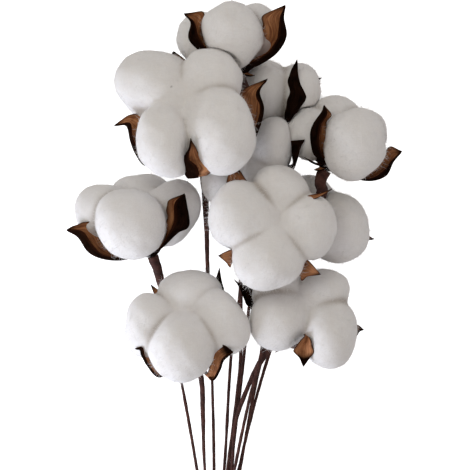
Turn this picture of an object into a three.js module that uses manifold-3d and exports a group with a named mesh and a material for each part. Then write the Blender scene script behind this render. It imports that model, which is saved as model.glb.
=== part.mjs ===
// Bunch of ten dried cotton stems lying on a table. Each stem carries one open boll: four locks
// of lint held by a bur of four dried valves, on a tapering stem wrapped in brown tape.
// Frame: millimetres, X across the bunch, Y from the cut ends to the heads, Z up from the table.
import * as THREE from "three";
import { ConvexGeometry } from "three/addons/geometries/ConvexGeometry.js";
import { mergeVertices } from "three/addons/utils/BufferGeometryUtils.js";
import Module from "manifold-3d";

const wasm = await Module();
wasm.setup();

const GAP = 0.3; // clearance between a stem and its bur
const LINT_GAP = 0.45; // between the lint and what it gives way to
const TABLE_Z = 0;
const SLAB_SIDE = 1000; // cuts off whatever would reach below the table

const LOCK_SIDES = 11;
const LOCK_RINGS = 6;
const ROOT_DEPTH = 5; // distance from a boll's base to the lower ends of its locks
const LOCK_FILL = 0.13; // how far a lock swells towards the boll's axis, as a share of its size

const VALVE_THICKNESS = 1;
const VALVE_HALF_WIDTH = 8.2; // in a boll of the usual width
const VALVE_CURL = 0.45; // depth of the boat-shaped section, as a share of its half width
const VALVE_REACH = 0.42; // tip distance from the axis, as a share of the boll's width
const VALVE_RISE = 0.5; // tip height above the base, same share
const VALVE_BEAK = 5.2; // how far the beak stands out from the blade
const VALVE_ROOT_REACH = 3.4; // where a valve starts on its cup, from the boll's axis
const VALVE_ROOT_HALF = 2.4; // half its width there
const VALVE_ROOT_RISE = 1; // how far its rims stand above its fold there
const BEAK_SHARE = 0.8; // how far along the beak its last section stands
const FOLD_LIMIT = 1.6; // most that a sharp fold thickens the valve outside it
const PLATE_TIE = 0.3; // how far neighbouring plates of a valve reach into each other
const USUAL_WIDTH = 57;
// Cross lines of a valve: reach as a share of the blade's, rise as a share of the tip's, half
// width as a share of the widest.
const VALVE_LINES = [
  [0.08, 0, 0.35],
  [0.58, 0.06, 0.78],
  [0.97, 0.38, 1],
  [1.02, 0.82, 0.7],
];

const CUP_RADIUS = 5;
const CUP_FOOT_RADIUS = 2.75;
const CUP_RIM_RADIUS = 3.5;
const CUP_DEPTH = 2.2; // below the base point
const CUP_RIM = 1.4; // above it
const CUP_SIDES = 6;

const BRACT_HALF_THICKNESS = 0.45;
const BRACT_SAG = 1.2; // how far a bract piece bends away from the lint
// Cross lines of a bract piece: place along it and half width.
const BRACT_LINES = [
  [0.05, 1.4],
  [0.35, 1.6],
  [0.7, 1.3],
  [1, 0.55],
];

const STEM_SIDES = 5;
const STEM_STEPS = 16;
const STEM_STEP_GROWTH = 1.35; // shorter steps near the boll, where the stem bends most
const WIRE_DIAMETER = 1.5;
const NECK_STRAIGHT = 6; // length that leaves the bur in line with it
const TIE_Y = -93; // where the stems run closest together
const TIE_LENGTH = 24;

const LINT = { color: 0xe9e5e1, roughness: 0.95, metalness: 0 };
const BUR = { color: 0x4a2b1c, roughness: 0.7, metalness: 0 };
const TAPE = { color: 0x45261f, roughness: 0.75, metalness: 0 };

// The ten bolls, from the top of the bunch down. base: where the bur meets the stem.
// locks: centre, half sizes and turn about Z in degrees, in order round the boll.
// valves: the valve that follows each lock, null where an even one does. tip ends its beak, and
// wide is its share of the usual width. A valve that shows has a form of its own: near and far
// are points of its two rims from the cup to the shoulder, and fold of the crease between them.
// bracts: ends of the dried bract pieces. stem: points on the way to the tie.
// slot: X and Z at the tie. end: the cut end. neck: stem diameter at the bur and length over
// which it thins to the wire.
const BOLLS = [
  {
    name: "01",
    base: [3, 156.5, 44],
    locks: [
      { at: [-1, 175, 58], size: [14.4, 15, 13.5] },
      { at: [10, 175, 41], size: [12.5, 14.5, 13.5] },
      { at: [-3, 172.5, 29], size: [13, 14, 14] },
      { at: [-16, 172, 37], size: [12, 13, 13] },
    ],
    valves: [
      {
        tip: [24.5, 188, 59],
        near: [[10.5, 161.5, 56], [17.5, 166.5, 60], [21, 173, 62], [22, 181.5, 62]],
        fold: [[13.5, 160.5, 48], [21, 166, 49], [25, 173.5, 51], [23.5, 182, 55]],
        far: [[8.5, 164.5, 50], [12.5, 170.5, 54], [13, 176.5, 57], [13.5, 182.5, 58.5]],
      },
      null,
      null,
      {
        tip: [-24, 184, 57],
        near: [[-6, 163.5, 55], [-12.5, 166.5, 59], [-17, 172.5, 61], [-19, 179.5, 61]],
        fold: [[-7.5, 162.5, 48], [-15, 165.5, 49], [-21.5, 172, 50], [-20.5, 180, 54]],
        far: [[-8.5, 166, 50], [-13, 170.5, 54], [-15.5, 176.5, 56], [-14.5, 184.5, 57]],
      },
    ],
    bracts: [[-4, 154.5, 52], [10, 154.5, 51]],
    stem: [
      [0, 143, 29], [-1, 112, 13], [2, 78, 6.5], [2.9, 51, 5], [-1.4, 18, 5.5], [-4.8, -37, 6.5],
    ],
    slot: [-9.6, 6.6],
    end: [-11.5, -184, 4],
    neck: [3.2, 45],
  },
  {
    name: "02",
    base: [-17.8, 118.3, 43],
    locks: [
      { at: [-39.4, 151.4, 56], size: [18.2, 15.6, 16.5] },
      { at: [-10.1, 153.8, 62], size: [14.9, 13, 14] },
      { at: [-5.8, 127.4, 73], size: [16.6, 20.4, 17], turn: 10 },
      { at: [-34.6, 121.7, 74], size: [12.6, 17.5, 15], turn: 15 },
    ],
    valves: [
      { tip: [-29.3, 166.3, 42], wide: 0.8 },
      {
        tip: [16, 152.5, 60],
        near: [[6, 122, 60], [10.5, 130, 60], [12.5, 138.5, 63], [10.5, 145.5, 63]],
        fold: [[7.5, 121.5, 56], [12, 131, 54], [13.5, 139, 55], [12, 146.5, 57]],
        far: [[-1, 129, 50], [0, 137, 51], [0, 143.5, 53], [5.5, 148, 57]],
      },
      {
        tip: [-20.5, 123.5, 85],
        near: [[-17, 105, 66], [-17.5, 110, 80], [-21.5, 114, 84], [-20.5, 119.5, 86]],
        fold: [[-22, 105, 60], [-24.5, 109.5, 72], [-23.5, 114.5, 79], [-21, 119, 83]],
        far: [[-14.5, 106, 62], [-10.5, 109.5, 75], [-16, 115, 79], [-18.5, 119.5, 83]],
      },
      {
        tip: [-57.5, 130, 64],
        near: [[-40.5, 112, 64], [-45.5, 118, 68], [-48.5, 124.5, 69], [-49.5, 131, 69]],
        fold: [[-42, 111.5, 57], [-47, 117.5, 60], [-49.5, 123.5, 62], [-51.5, 130, 63]],
        far: [[-35.5, 127, 55], [-39, 135.5, 58], [-44.5, 136, 60], [-50.5, 135, 62]],
      },
    ],
    bracts: [],
    stem: [
      [-14.6, 104, 30], [-13.6, 88, 22], [-13, 64.6, 17], [-11.8, 35, 13], [-10.8, 10, 12],
      [-9.8, -37, 10.6],
    ],
    slot: [-10.6, 8.4],
    end: [-13.5, -188, 8.5],
    neck: [3.8, 75],
  },
  {
    name: "03",
    base: [23.5, 131.8, 21],
    locks: [
      { at: [13.8, 146, 28], size: [13.8, 15.5, 12] },
      { at: [32.4, 145.5, 28], size: [10.2, 14.4, 11.5] },
      { at: [31, 151, 11.2], size: [10.5, 11.5, 12] },
      { at: [17.5, 152, 11.2], size: [10.5, 11.5, 12] },
    ],
    valves: [
      {
        tip: [30.5, 162.5, 41],
        near: [[24.5, 133.5, 35], [25, 139.5, 38], [26.5, 145.5, 39.5], [26.5, 153.5, 40]],
        fold: [[26, 132, 37], [28.5, 138, 42], [30.5, 144.5, 44], [29, 153, 43.5]],
        far: [[27, 133.5, 35], [32, 139, 37], [35.5, 144.5, 38], [31.5, 152.5, 39.5]],
      },
      null,
      null,
      null,
    ],
    bracts: [],
    stem: [
      [21.5, 118, 12], [18, 103, 8], [13.5, 80, 6.5], [8.5, 51, 5.5], [4, 10, 5.5],
      [-1.6, -37, 7],
    ],
    slot: [-7.6, 6.6],
    end: [-8.2, -180, 3.5],
    neck: [3, 45],
  },
  {
    name: "04",
    base: [45, 111, 39],
    locks: [
      { at: [59.3, 121.7, 54], size: [14.4, 17, 14.5] },
      { at: [36.5, 127.4, 34], size: [12, 12, 12.5] },
      { at: [49, 133.5, 28], size: [12.5, 12, 13] },
      { at: [62, 127, 38], size: [12, 12, 13] },
    ],
    valves: [
      {
        tip: [43.5, 140, 53],
        near: [[47, 111.5, 47], [42.5, 116.5, 54], [41, 123, 57], [42, 130.5, 57], [45, 136, 56]],
        fold: [[42, 114, 41], [38.5, 117, 44], [37, 125.5, 47], [38.5, 131, 49], [42.5, 137, 52]],
        far: [[48, 113.5, 44], [45.5, 117.5, 50], [44.5, 124, 53], [45, 131, 53], [47, 135, 54]],
      },
      null,
      null,
      {
        tip: [81, 118, 47],
        near: [[59.5, 105.5, 47], [66.5, 105, 50], [72.5, 109, 51], [76, 113.5, 50]],
        fold: [[59, 105, 42], [66.5, 104, 42], [73.5, 106.5, 42], [77, 113.5, 43]],
        far: [[57, 108, 43], [63.5, 108, 45], [70, 112.5, 46], [74.5, 120, 47]],
      },
    ],
    bracts: [[34, 115, 47], [38.5, 109, 46]],
    stem: [
      [42.7, 98.5, 35.5], [35, 82, 40], [28.5, 63, 29], [21, 42, 12], [12, 10.5, 8.6],
      [3, -37, 8.6],
    ],
    slot: [-4.6, 8.4],
    end: [-1.5, -182, 7.5],
    neck: [5.8, 60],
  },
  {
    name: "05",
    base: [5.8, 110.6, 19],
    locks: [
      { at: [19, 120.5, 37], size: [10.5, 14, 12] },
      { at: [11.5, 104, 37], size: [11.5, 11.5, 12] },
      { at: [-5.8, 103.5, 36], size: [10.5, 11.5, 12] },
      { at: [-1, 122, 34], size: [11.5, 12, 12] },
    ],
    valves: [
      {
        tip: [34, 123.5, 46],
        near: [[25, 108, 38], [29, 113, 43], [31, 120.5, 45]],
        fold: [[27.5, 108.5, 40], [30, 113, 45], [32, 120.5, 46]],
        far: [[28, 111.5, 34], [28, 116, 38], [27, 122.5, 42]],
      },
      null,
      null,
      null,
    ],
    bracts: [],
    stem: [[4.5, 88, 10], [3.5, 60, 11], [3.4, 22, 11], [1.5, 0, 10.5], [-3.2, -37, 9]],
    slot: [-8.6, 8.4],
    end: [-9.5, -178, 7.8],
    neck: [3, 45],
  },
  {
    name: "06",
    base: [-40.3, 69.4, 27],
    locks: [
      { at: [-50.9, 83.8, 47], size: [16.8, 16.8, 15.5] },
      { at: [-64.3, 88.6, 32], size: [13, 14, 14] },
      { at: [-45.6, 93.5, 14.6], size: [16.8, 14.3, 15.5] },
      { at: [-28, 91.5, 31], size: [12.3, 12.7, 13] },
    ],
    valves: [
      {
        tip: [-81, 80, 43],
        near: [[-54.5, 66.5, 36], [-63, 68, 43], [-68, 72.5, 46], [-73.5, 79.5, 46]],
        fold: [[-55, 65.5, 30], [-64.5, 66.5, 33], [-71, 70, 35], [-75.5, 76.5, 38]],
        far: [[-56.5, 69, 32], [-64.5, 75, 38], [-67.5, 84.5, 43], [-73.5, 84, 44]],
      },
      { tip: [-73.4, 99, 21] },
      { tip: [-34.5, 98, 21] },
      {
        tip: [-24, 97.5, 47],
        near: [[-36.5, 71, 40], [-31.5, 78.5, 48], [-29, 84.5, 51], [-28.5, 93, 51]],
        fold: [[-34.5, 72, 34], [-27, 79, 40], [-22, 82, 43], [-23, 92.5, 44]],
        far: [[-38, 73.5, 36], [-34.5, 78.5, 42], [-32.5, 85.5, 46], [-32.5, 93, 48]],
      },
    ],
    bracts: [],
    stem: [[-35.5, 53.5, 20], [-30.5, 29, 15], [-25.4, 4, 11], [-18.2, -37, 9.4]],
    slot: [-11.6, 6.6],
    end: [-16, -186, 4.5],
    neck: [5, 45],
  },
  {
    name: "07",
    base: [20.6, 81.8, 45],
    locks: [
      { at: [2.9, 86.6, 62], size: [16.3, 17.2, 16] },
      { at: [22.6, 99.8, 58], size: [14, 10.6, 13], turn: -25 },
      { at: [36.5, 81.4, 62], size: [12.6, 15.6, 15] },
      { at: [15.8, 65, 66], size: [17.3, 14.4, 15.5] },
    ],
    valves: [
      {
        tip: [2, 109, 63],
        near: [[3, 98, 56], [-4, 101, 62], [-1.5, 107, 64]],
        fold: [[6, 98, 53], [2, 101, 57], [2, 107, 61]],
        far: [[8.5, 98, 55], [8, 101, 61], [4, 107, 63]],
      },
      {
        tip: [47, 99.5, 67],
        near: [[34, 93, 65], [36.5, 94, 69], [41.5, 96, 69]],
        fold: [[33.5, 94.5, 63], [35.5, 95.5, 67], [41.5, 97, 67]],
        far: [[33, 95, 64], [36, 96.5, 68], [41.5, 97.5, 68]],
      },
      {
        tip: [41.5, 58.5, 65],
        near: [[33.5, 66.5, 60], [36, 65, 66], [39.5, 61, 67]],
        fold: [[33, 64, 56], [35, 61.5, 60], [38, 60, 63]],
        far: [[31, 59.5, 57], [32.5, 55.5, 60], [35.5, 57.5, 62]],
      },
      {
        tip: [-7.5, 67.5, 66],
        near: [[1.5, 70.5, 60], [-1.5, 70.5, 68], [-5, 69, 69]],
        fold: [[1, 68, 56], [-2, 67, 62], [-5, 67, 65]],
        far: [[-0.5, 64.5, 57], [-2, 61.5, 60], [-3.5, 64, 63]],
      },
    ],
    bracts: [],
    stem: [[19.5, 74, 33], [16.5, 55, 23], [13.4, 21, 19], [7.7, -2, 17], [0.3, -37, 13.4]],
    slot: [-7.6, 10.2],
    end: [-6, -186, 11.5],
    neck: [3.2, 45],
  },
  {
    name: "08",
    base: [36, 70.3, 18],
    locks: [
      { at: [52.3, 81.4, 32], size: [14, 17.3, 14] },
      { at: [46, 86, 12.2], size: [12, 12.5, 13] },
      { at: [35, 95.5, 15], size: [12, 12.2, 13] },
      { at: [29.5, 82, 28], size: [10.5, 12, 11.5] },
    ],
    valves: [
      { tip: [68.4, 75.6, 22] },
      null,
      null,
      { tip: [44, 89, 40] },
    ],
    bracts: [],
    stem: [[31, 57, 10], [24, 38, 6.5], [15, 12, 5.2], [2.4, -37, 6.6]],
    slot: [-5.6, 6.6],
    end: [-4.6, -186, 4],
    neck: [3, 45],
  },
  {
    name: "09",
    base: [30, 29, 24],
    locks: [
      { at: [21.1, 36.7, 42], size: [14.2, 15, 14] },
      { at: [20.5, 50.5, 36], size: [13, 13, 12] },
      { at: [44.2, 50.6, 37], size: [12.5, 10.9, 12] },
      { at: [47, 30, 41], size: [12.6, 17, 14], turn: -10 },
    ],
    valves: [
      {
        tip: [0, 56, 42],
        near: [[9.5, 46, 36], [10, 51.5, 40], [3, 54, 42.5]],
        fold: [[8, 44.5, 34], [7, 47, 38], [2.5, 53.5, 41]],
        far: [[6.5, 43, 34], [5, 46.5, 36], [2, 53, 41]],
      },
      { tip: [30.3, 60.3, 29.5] },
      {
        tip: [63, 31.5, 30],
        near: [[50.5, 20.5, 26], [56.5, 25, 29], [60.5, 31.5, 31]],
        fold: [[49.5, 20, 22], [56.5, 24, 25], [61, 31, 29]],
        far: [[48.5, 24, 24], [54.5, 30.5, 27], [60, 34, 30]],
      },
      {
        tip: [33.5, 14, 46],
        near: [[34, 29, 52], [30.5, 24.5, 52], [28.5, 21.5, 50], [31.5, 18.5, 46.5]],
        fold: [[35, 28, 47], [34, 23, 46], [33.5, 20.5, 45], [33.5, 17, 44]],
        far: [[36.5, 28, 51], [38, 24.5, 51], [38.5, 21.5, 49], [36.5, 18, 46.5]],
      },
    ],
    bracts: [[20, 20.5, 36]],
    stem: [[24, 27, 15.5], [14.5, 18, 14], [4.3, -3, 13], [0.5, -16, 12], [-1, -37, 11]],
    slot: [-6.6, 8.4],
    end: [-5, -190, 7.6],
    neck: [3.4, 70],
  },
  {
    name: "10",
    base: [-20.6, 22.3, 31],
    locks: [
      { at: [-25.4, 22.8, 56], size: [15.4, 16.3, 14.5] },
      { at: [-41, 33.4, 45], size: [12.3, 15.8, 13] },
      { at: [-21.1, 49.7, 40], size: [15.8, 11.7, 12.5] },
      { at: [-5, 36, 49], size: [11.5, 15.2, 13], turn: 35 },
    ],
    valves: [
      {
        tip: [-47.5, 23, 54],
        near: [[-35.5, 9.5, 46], [-41, 15, 51], [-43, 20, 54.5], [-44, 23.5, 56]],
        fold: [[-36, 9, 42], [-41.5, 14.5, 47], [-44, 19, 50], [-45.5, 22, 51.5]],
        far: [[-33, 12, 44], [-37.5, 17, 49], [-38.5, 21.5, 53], [-39.5, 25, 54.5]],
      },
      { tip: [-40.3, 53.5, 38], wide: 0.35 },
      {
        tip: [-7, 61.5, 41],
        near: [[-9.5, 46, 34], [-10, 51.5, 38], [-8, 58.5, 40.5]],
        fold: [[-8, 44.5, 36], [-7.5, 50.5, 40], [-7.5, 58, 42]],
        far: [[-5, 46, 34], [-5, 51, 38], [-6.5, 58, 40.5]],
      },
      {
        tip: [-0.5, 21.5, 57],
        near: [[-11, 8, 46], [-7.5, 13, 51], [-6, 17.5, 54], [-3.5, 20, 57]],
        fold: [[-10.5, 7.5, 42], [-7, 12.5, 47], [-5.5, 17, 50], [-3, 19.5, 53]],
        far: [[-13.5, 10.5, 44], [-11, 16.5, 49], [-10, 23, 53], [-6, 25, 57]],
      },
    ],
    bracts: [],
    stem: [[-16.1, 8, 21], [-15.2, -10, 15.5], [-14.3, -37, 12.8]],
    slot: [-9.6, 10.2],
    end: [-11, -189, 12],
    neck: [3.2, 55],
  },
];

function vec(p) {
  return new THREE.Vector3(p[0], p[1], p[2]);
}

// Turns a three.js geometry into a solid for joins and cuts.
function toSolid(geometry) {
  const plain = geometry.clone();
  plain.deleteAttribute("normal");
  plain.deleteAttribute("uv");
  const merged = mergeVertices(plain, 1e-4);
  return new wasm.Manifold(
    new wasm.Mesh({
      numProp: 3,
      vertProperties: new Float32Array(merged.attributes.position.array),
      triVerts: new Uint32Array(merged.index.array),
    }),
  );
}

function toGeometry(solid) {
  const mesh = solid.getMesh();
  const geometry = new THREE.BufferGeometry();
  geometry.setAttribute("position", new THREE.BufferAttribute(mesh.vertProperties, 3));
  geometry.setIndex(new THREE.BufferAttribute(mesh.triVerts, 1));
  return geometry;
}

// Six times the volume inside a closed skin, negative when its faces point inwards.
function signedVolume(points, index) {
  let sum = 0;
  for (let i = 0; i < index.length; i += 3) {
    const cross = new THREE.Vector3().crossVectors(points[index[i + 1]], points[index[i + 2]]);
    sum += points[index[i]].dot(cross);
  }
  return sum;
}

// Closed skin over a row of rings of equal length, with a fan to one point at either end.
function skin(rings, firstPole, lastPole) {
  const sides = rings[0].length;
  const points = [...rings.flat(), firstPole, lastPole];
  const first = points.length - 2;
  const last = points.length - 1;
  const index = [];
  for (let r = 0; r + 1 < rings.length; r++) {
    for (let k = 0; k < sides; k++) {
      const a = r * sides + k;
      const b = r * sides + ((k + 1) % sides);
      index.push(a, b, b + sides, a, b + sides, a + sides);
    }
  }
  const top = (rings.length - 1) * sides;
  for (let k = 0; k < sides; k++) {
    const next = (k + 1) % sides;
    index.push(first, next, k, last, top + k, top + next);
  }
  if (signedVolume(points, index) < 0) index.reverse();
  const geometry = new THREE.BufferGeometry();
  const flat = points.flatMap((p) => [p.x, p.y, p.z]);
  geometry.setAttribute("position", new THREE.Float32BufferAttribute(flat, 3));
  geometry.setIndex(index);
  return geometry;
}

function meanPoint(points) {
  const sum = new THREE.Vector3();
  for (const p of points) sum.add(p);
  return sum.divideScalar(points.length);
}

// Two directions square to a given one.
function crossAxes(direction) {
  const upright = Math.abs(direction.z) > 0.9;
  const helper = upright ? new THREE.Vector3(0, 1, 0) : new THREE.Vector3(0, 0, 1);
  const u = new THREE.Vector3().crossVectors(helper, direction).normalize();
  const v = new THREE.Vector3().crossVectors(direction, u);
  return [u, v];
}

// Axis, width and base point of a boll, read from its locks.
function bollFrame(boll) {
  const base = vec(boll.base);
  const centre = meanPoint(boll.locks.map((lock) => vec(lock.at)));
  const axis = centre.clone().sub(base).normalize();
  let width = 0;
  for (const lock of boll.locks) {
    const offset = vec(lock.at).sub(centre);
    const across = offset.addScaledVector(axis, -offset.dot(axis)).length();
    width += (2 * (across + lock.size[0])) / boll.locks.length;
  }
  return { base, centre, axis, width };
}

// One lock: an ellipsoid drawn out and narrowed towards the base of its boll.
function lockGeometry(lock, frame, grow) {
  const base = frame.base;
  const centre = vec(lock.at);
  const pole = centre.clone().sub(base).normalize();
  const [u, v] = crossAxes(pole);
  const turn = THREE.MathUtils.degToRad(lock.turn ?? 0);
  const half = vec(lock.size).addScalar(grow);
  const up = new THREE.Vector3(0, 0, 1);
  const lower = centre.distanceTo(base) - ROOT_DEPTH + grow;
  const stretch = Math.max(1, (lower / half.length()) * Math.sqrt(3));
  const inward = frame.centre.clone().sub(centre);
  inward.addScaledVector(frame.axis, -inward.dot(frame.axis)).normalize();
  function place(q) {
    const along = q.dot(pole);
    const p = q.clone().applyAxisAngle(up, -turn).multiply(half).applyAxisAngle(up, turn);
    if (along < 0) p.addScaledVector(pole, p.dot(pole) * (stretch - 1));
    const facing = q.dot(inward);
    if (facing > 0) p.addScaledVector(inward, LOCK_FILL * facing * facing * half.length());
    return p.add(centre);
  }
  const rings = [];
  for (let r = 1; r < LOCK_RINGS; r++) {
    const polar = (Math.PI * r) / LOCK_RINGS;
    const ring = [];
    for (let k = 0; k < LOCK_SIDES; k++) {
      const round = (2 * Math.PI * (k + (r % 2) / 2)) / LOCK_SIDES;
      const q = pole.clone().multiplyScalar(-Math.cos(polar));
      q.addScaledVector(u, Math.sin(polar) * Math.cos(round));
      q.addScaledVector(v, Math.sin(polar) * Math.sin(round));
      ring.push(place(q));
    }
    rings.push(ring);
  }
  return skin(rings, place(pole.clone().negate()), place(pole));
}

// All four locks of a boll as one body.
function lockBody(boll, grow) {
  const frame = bollFrame(boll);
  let body = null;
  for (const lock of boll.locks) {
    const solid = toSolid(lockGeometry(lock, frame, grow));
    body = body ? body.add(solid) : solid;
  }
  return body;
}

// Tip of the valve between two neighbouring locks of an even boll.
function evenTip(frame, lock, next) {
  const middle = vec(lock.at).add(vec(next.at)).multiplyScalar(0.5).sub(frame.base);
  const out = middle.addScaledVector(frame.axis, -middle.dot(frame.axis)).normalize();
  return frame.base
    .clone()
    .addScaledVector(out, VALVE_REACH * frame.width)
    .addScaledVector(frame.axis, VALVE_RISE * frame.width);
}

// Sections of an even valve, each its near rim, fold and far rim: a boat-shaped blade that leaves
// the cup sideways and rises round the lint.
function evenSections(frame, tip, wide) {
  const chord = tip.clone().sub(frame.base);
  const rise = chord.dot(frame.axis);
  const out = chord.clone().addScaledVector(frame.axis, -rise);
  const blade = out.length() - VALVE_BEAK;
  out.normalize();
  const across = new THREE.Vector3().crossVectors(frame.axis, out);
  const half = (VALVE_HALF_WIDTH * wide * frame.width) / USUAL_WIDTH;
  const lines = VALVE_LINES.map(([x, y, w]) => [x * blade, y * rise, w * half]);
  return lines.map(([x, y, w], i) => {
    const before = lines[Math.max(0, i - 1)];
    const after = lines[Math.min(lines.length - 1, i + 1)];
    const run = new THREE.Vector2(after[0] - before[0], after[1] - before[1]).normalize();
    const fold = frame.base.clone().addScaledVector(out, x).addScaledVector(frame.axis, y);
    const inward = out.clone().multiplyScalar(-run.y).addScaledVector(frame.axis, run.x);
    const [near, far] = [-w, w].map((side) =>
      fold.clone().addScaledVector(across, side).addScaledVector(inward, VALVE_CURL * w),
    );
    return [near, fold, far];
  });
}

// Sections of a valve that has its own points. The first stands on the cup, opened upwards.
function drawnSections(frame, valve) {
  const sections = valve.fold.map((fold, i) => [vec(valve.near[i]), vec(fold), vec(valve.far[i])]);
  const [near, fold, far] = sections[0];
  const out = fold.clone().sub(frame.base);
  out.addScaledVector(frame.axis, -out.dot(frame.axis)).normalize();
  const across = new THREE.Vector3().crossVectors(frame.axis, out);
  if (across.dot(far.clone().sub(near)) < 0) across.negate();
  const root = frame.base.clone().addScaledVector(out, VALVE_ROOT_REACH);
  const [first, last] = [-VALVE_ROOT_HALF, VALVE_ROOT_HALF].map((side) =>
    root.clone().addScaledVector(across, side).addScaledVector(frame.axis, VALVE_ROOT_RISE),
  );
  return [[first, root, last], ...sections];
}

// Point just beyond the middle of one face of a plate.
function pointBeyond(face, plate) {
  const middle = meanPoint(face);
  return middle.clone().add(middle.sub(meanPoint(plate)).setLength(PLATE_TIE));
}

// A valve: a folded blade through its sections, which ends in a beak. Between two sections each
// half of it is one plate, and every plate reaches a little into the next ones.
function valveBody(sections, tip, grow) {
  const shoulder = sections[sections.length - 1];
  const all = [...sections, shoulder.map((p) => p.clone().lerp(tip, BEAK_SHARE))];
  const halves = all.map(([near, fold, far], i) => {
    const run = all[Math.min(all.length - 1, i + 1)][1].clone();
    run.sub(all[Math.max(0, i - 1)][1]);
    const sides = [near, far].map((rim) => rim.clone().sub(fold).normalize());
    const faces = sides.map((side, k) => {
      const face = new THREE.Vector3().crossVectors(run, side).normalize();
      return face.dot(sides[1 - k]) < 0 ? face.negate() : face;
    });
    const mitre = faces[0].clone().add(faces[1]).normalize();
    const sharp = Math.min(FOLD_LIMIT, 1 / Math.max(mitre.dot(faces[0]), 1 / FOLD_LIMIT));
    function layer(height) {
      const rims = [near, far].map((rim, k) =>
        rim.clone().addScaledVector(sides[k], grow).addScaledVector(faces[k], height),
      );
      return [rims[0], fold.clone().addScaledVector(mitre, height * sharp), rims[1]];
    }
    const [inner, outer] = [layer(grow), layer(-VALVE_THICKNESS - grow)];
    return [0, 1].map((k) => [inner[k], inner[k + 1], outer[k], outer[k + 1]]);
  });
  const beak = tip.clone().sub(shoulder[1]).normalize();
  const end = tip.clone().addScaledVector(beak, grow);
  const plates = [[...halves[halves.length - 1].flat(), end]];
  for (let i = 1; i < halves.length; i++) {
    for (const k of [0, 1]) {
      const [before, after] = [halves[i - 1][k], halves[i][k]];
      const plate = [...before, ...after];
      const foldFace = [before[1 - k], before[3 - k], after[1 - k], after[3 - k]];
      plates.push([...plate, pointBeyond(after, plate), pointBeyond(foldFace, plate)]);
    }
  }
  return plates.map((points) => toSolid(new ConvexGeometry(points))).reduce((a, b) => a.add(b));
}

// The small cup that holds the valves on the stem.
function cupGeometry(frame, grow) {
  const low = -CUP_DEPTH - grow;
  const profile = [
    new THREE.Vector2(0, low),
    new THREE.Vector2(CUP_FOOT_RADIUS + grow, low),
    new THREE.Vector2(CUP_RADIUS + grow, 0),
    new THREE.Vector2(CUP_RIM_RADIUS + grow, CUP_RIM + grow),
    new THREE.Vector2(0, CUP_RIM + grow),
  ];
  const cup = new THREE.LatheGeometry(profile, CUP_SIDES);
  const turn = new THREE.Quaternion().setFromUnitVectors(new THREE.Vector3(0, 1, 0), frame.axis);
  return cup.applyQuaternion(turn).translate(frame.base.x, frame.base.y, frame.base.z);
}

// A dried piece of bract: a narrow blade from the cup to its end point.
function bractGeometry(frame, end, grow) {
  const run = end.clone().sub(frame.base);
  const direction = run.clone().normalize();
  const across = new THREE.Vector3().crossVectors(direction, frame.axis).normalize();
  const flat = new THREE.Vector3().crossVectors(across, direction);
  const rings = BRACT_LINES.map(([share, halfWidth]) => {
    const half = halfWidth + grow;
    const thick = BRACT_HALF_THICKNESS + grow;
    const p = frame.base.clone().addScaledVector(run, share);
    p.addScaledVector(frame.axis, -BRACT_SAG * Math.sin(Math.PI * share));
    return [[1, 1], [-1, 1], [-1, -1], [1, -1]].map(([a, b]) =>
      p.clone().addScaledVector(across, a * half).addScaledVector(flat, b * thick),
    );
  });
  return skin(rings, meanPoint(rings[0]), meanPoint(rings[rings.length - 1]));
}

// Four valves, cup and dried bract pieces of a boll as one body.
function burBody(boll, grow) {
  const frame = bollFrame(boll);
  let body = toSolid(cupGeometry(frame, grow));
  boll.valves.forEach((valve, i) => {
    const next = boll.locks[(i + 1) % boll.locks.length];
    const tip = valve ? vec(valve.tip) : evenTip(frame, boll.locks[i], next);
    const sections = valve?.fold
      ? drawnSections(frame, valve)
      : evenSections(frame, tip, valve?.wide ?? 1);
    body = body.add(valveBody(sections, tip, grow));
  });
  for (const end of boll.bracts) {
    body = body.add(toSolid(bractGeometry(frame, vec(end), grow)));
  }
  return body;
}

// A wrapped stem: leaves the cup in line with the boll, thins to the wire and runs to its end.
function stemBody(boll, grow) {
  const frame = bollFrame(boll);
  const start = frame.base.clone().addScaledVector(frame.axis, -CUP_DEPTH - GAP);
  const neckEnd = start.clone().addScaledVector(frame.axis, -NECK_STRAIGHT);
  const [slotX, slotZ] = boll.slot;
  const tie = [0.5, -0.5].map(
    (share) => new THREE.Vector3(slotX, TIE_Y + share * TIE_LENGTH, slotZ),
  );
  const path = [start, neckEnd, ...boll.stem.map(vec), ...tie, vec(boll.end)];
  const curve = new THREE.CatmullRomCurve3(path, false, "centripetal");
  const length = curve.getLength();
  let [u] = crossAxes(curve.getTangentAt(0));
  const rings = [];
  for (let i = 0; i <= STEM_STEPS; i++) {
    const s = (i / STEM_STEPS) ** STEM_STEP_GROWTH;
    const p = curve.getPointAt(s);
    const t = curve.getTangentAt(s);
    u = u.clone().addScaledVector(t, -u.dot(t)).normalize();
    const v = new THREE.Vector3().crossVectors(t, u);
    const thinning = Math.min(1, (s * length) / boll.neck[1]);
    const radius = THREE.MathUtils.lerp(boll.neck[0], WIRE_DIAMETER, thinning) / 2 + grow;
    const ring = [];
    for (let k = 0; k < STEM_SIDES; k++) {
      const round = (2 * Math.PI * k) / STEM_SIDES;
      const q = p.clone().addScaledVector(u, radius * Math.cos(round));
      ring.push(q.addScaledVector(v, radius * Math.sin(round)));
    }
    rings.push(ring);
  }
  const top = start.clone().addScaledVector(frame.axis, grow / 2);
  const foot = vec(boll.end).addScaledVector(curve.getTangentAt(1), grow);
  return toSolid(skin(rings, top, foot));
}

// The largest of a solid's separate bodies.
function largest(solid) {
  return solid.decompose().reduce((best, body) => (body.volume() > best.volume() ? body : best));
}

// Everything below the table top.
function belowTable() {
  const slab = new THREE.BoxGeometry(SLAB_SIDE, SLAB_SIDE, SLAB_SIDE);
  return toSolid(slab.translate(0, 0, TABLE_Z - SLAB_SIDE / 2));
}

const slab = belowTable();
const stems = BOLLS.map((boll) => stemBody(boll, 0));
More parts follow.
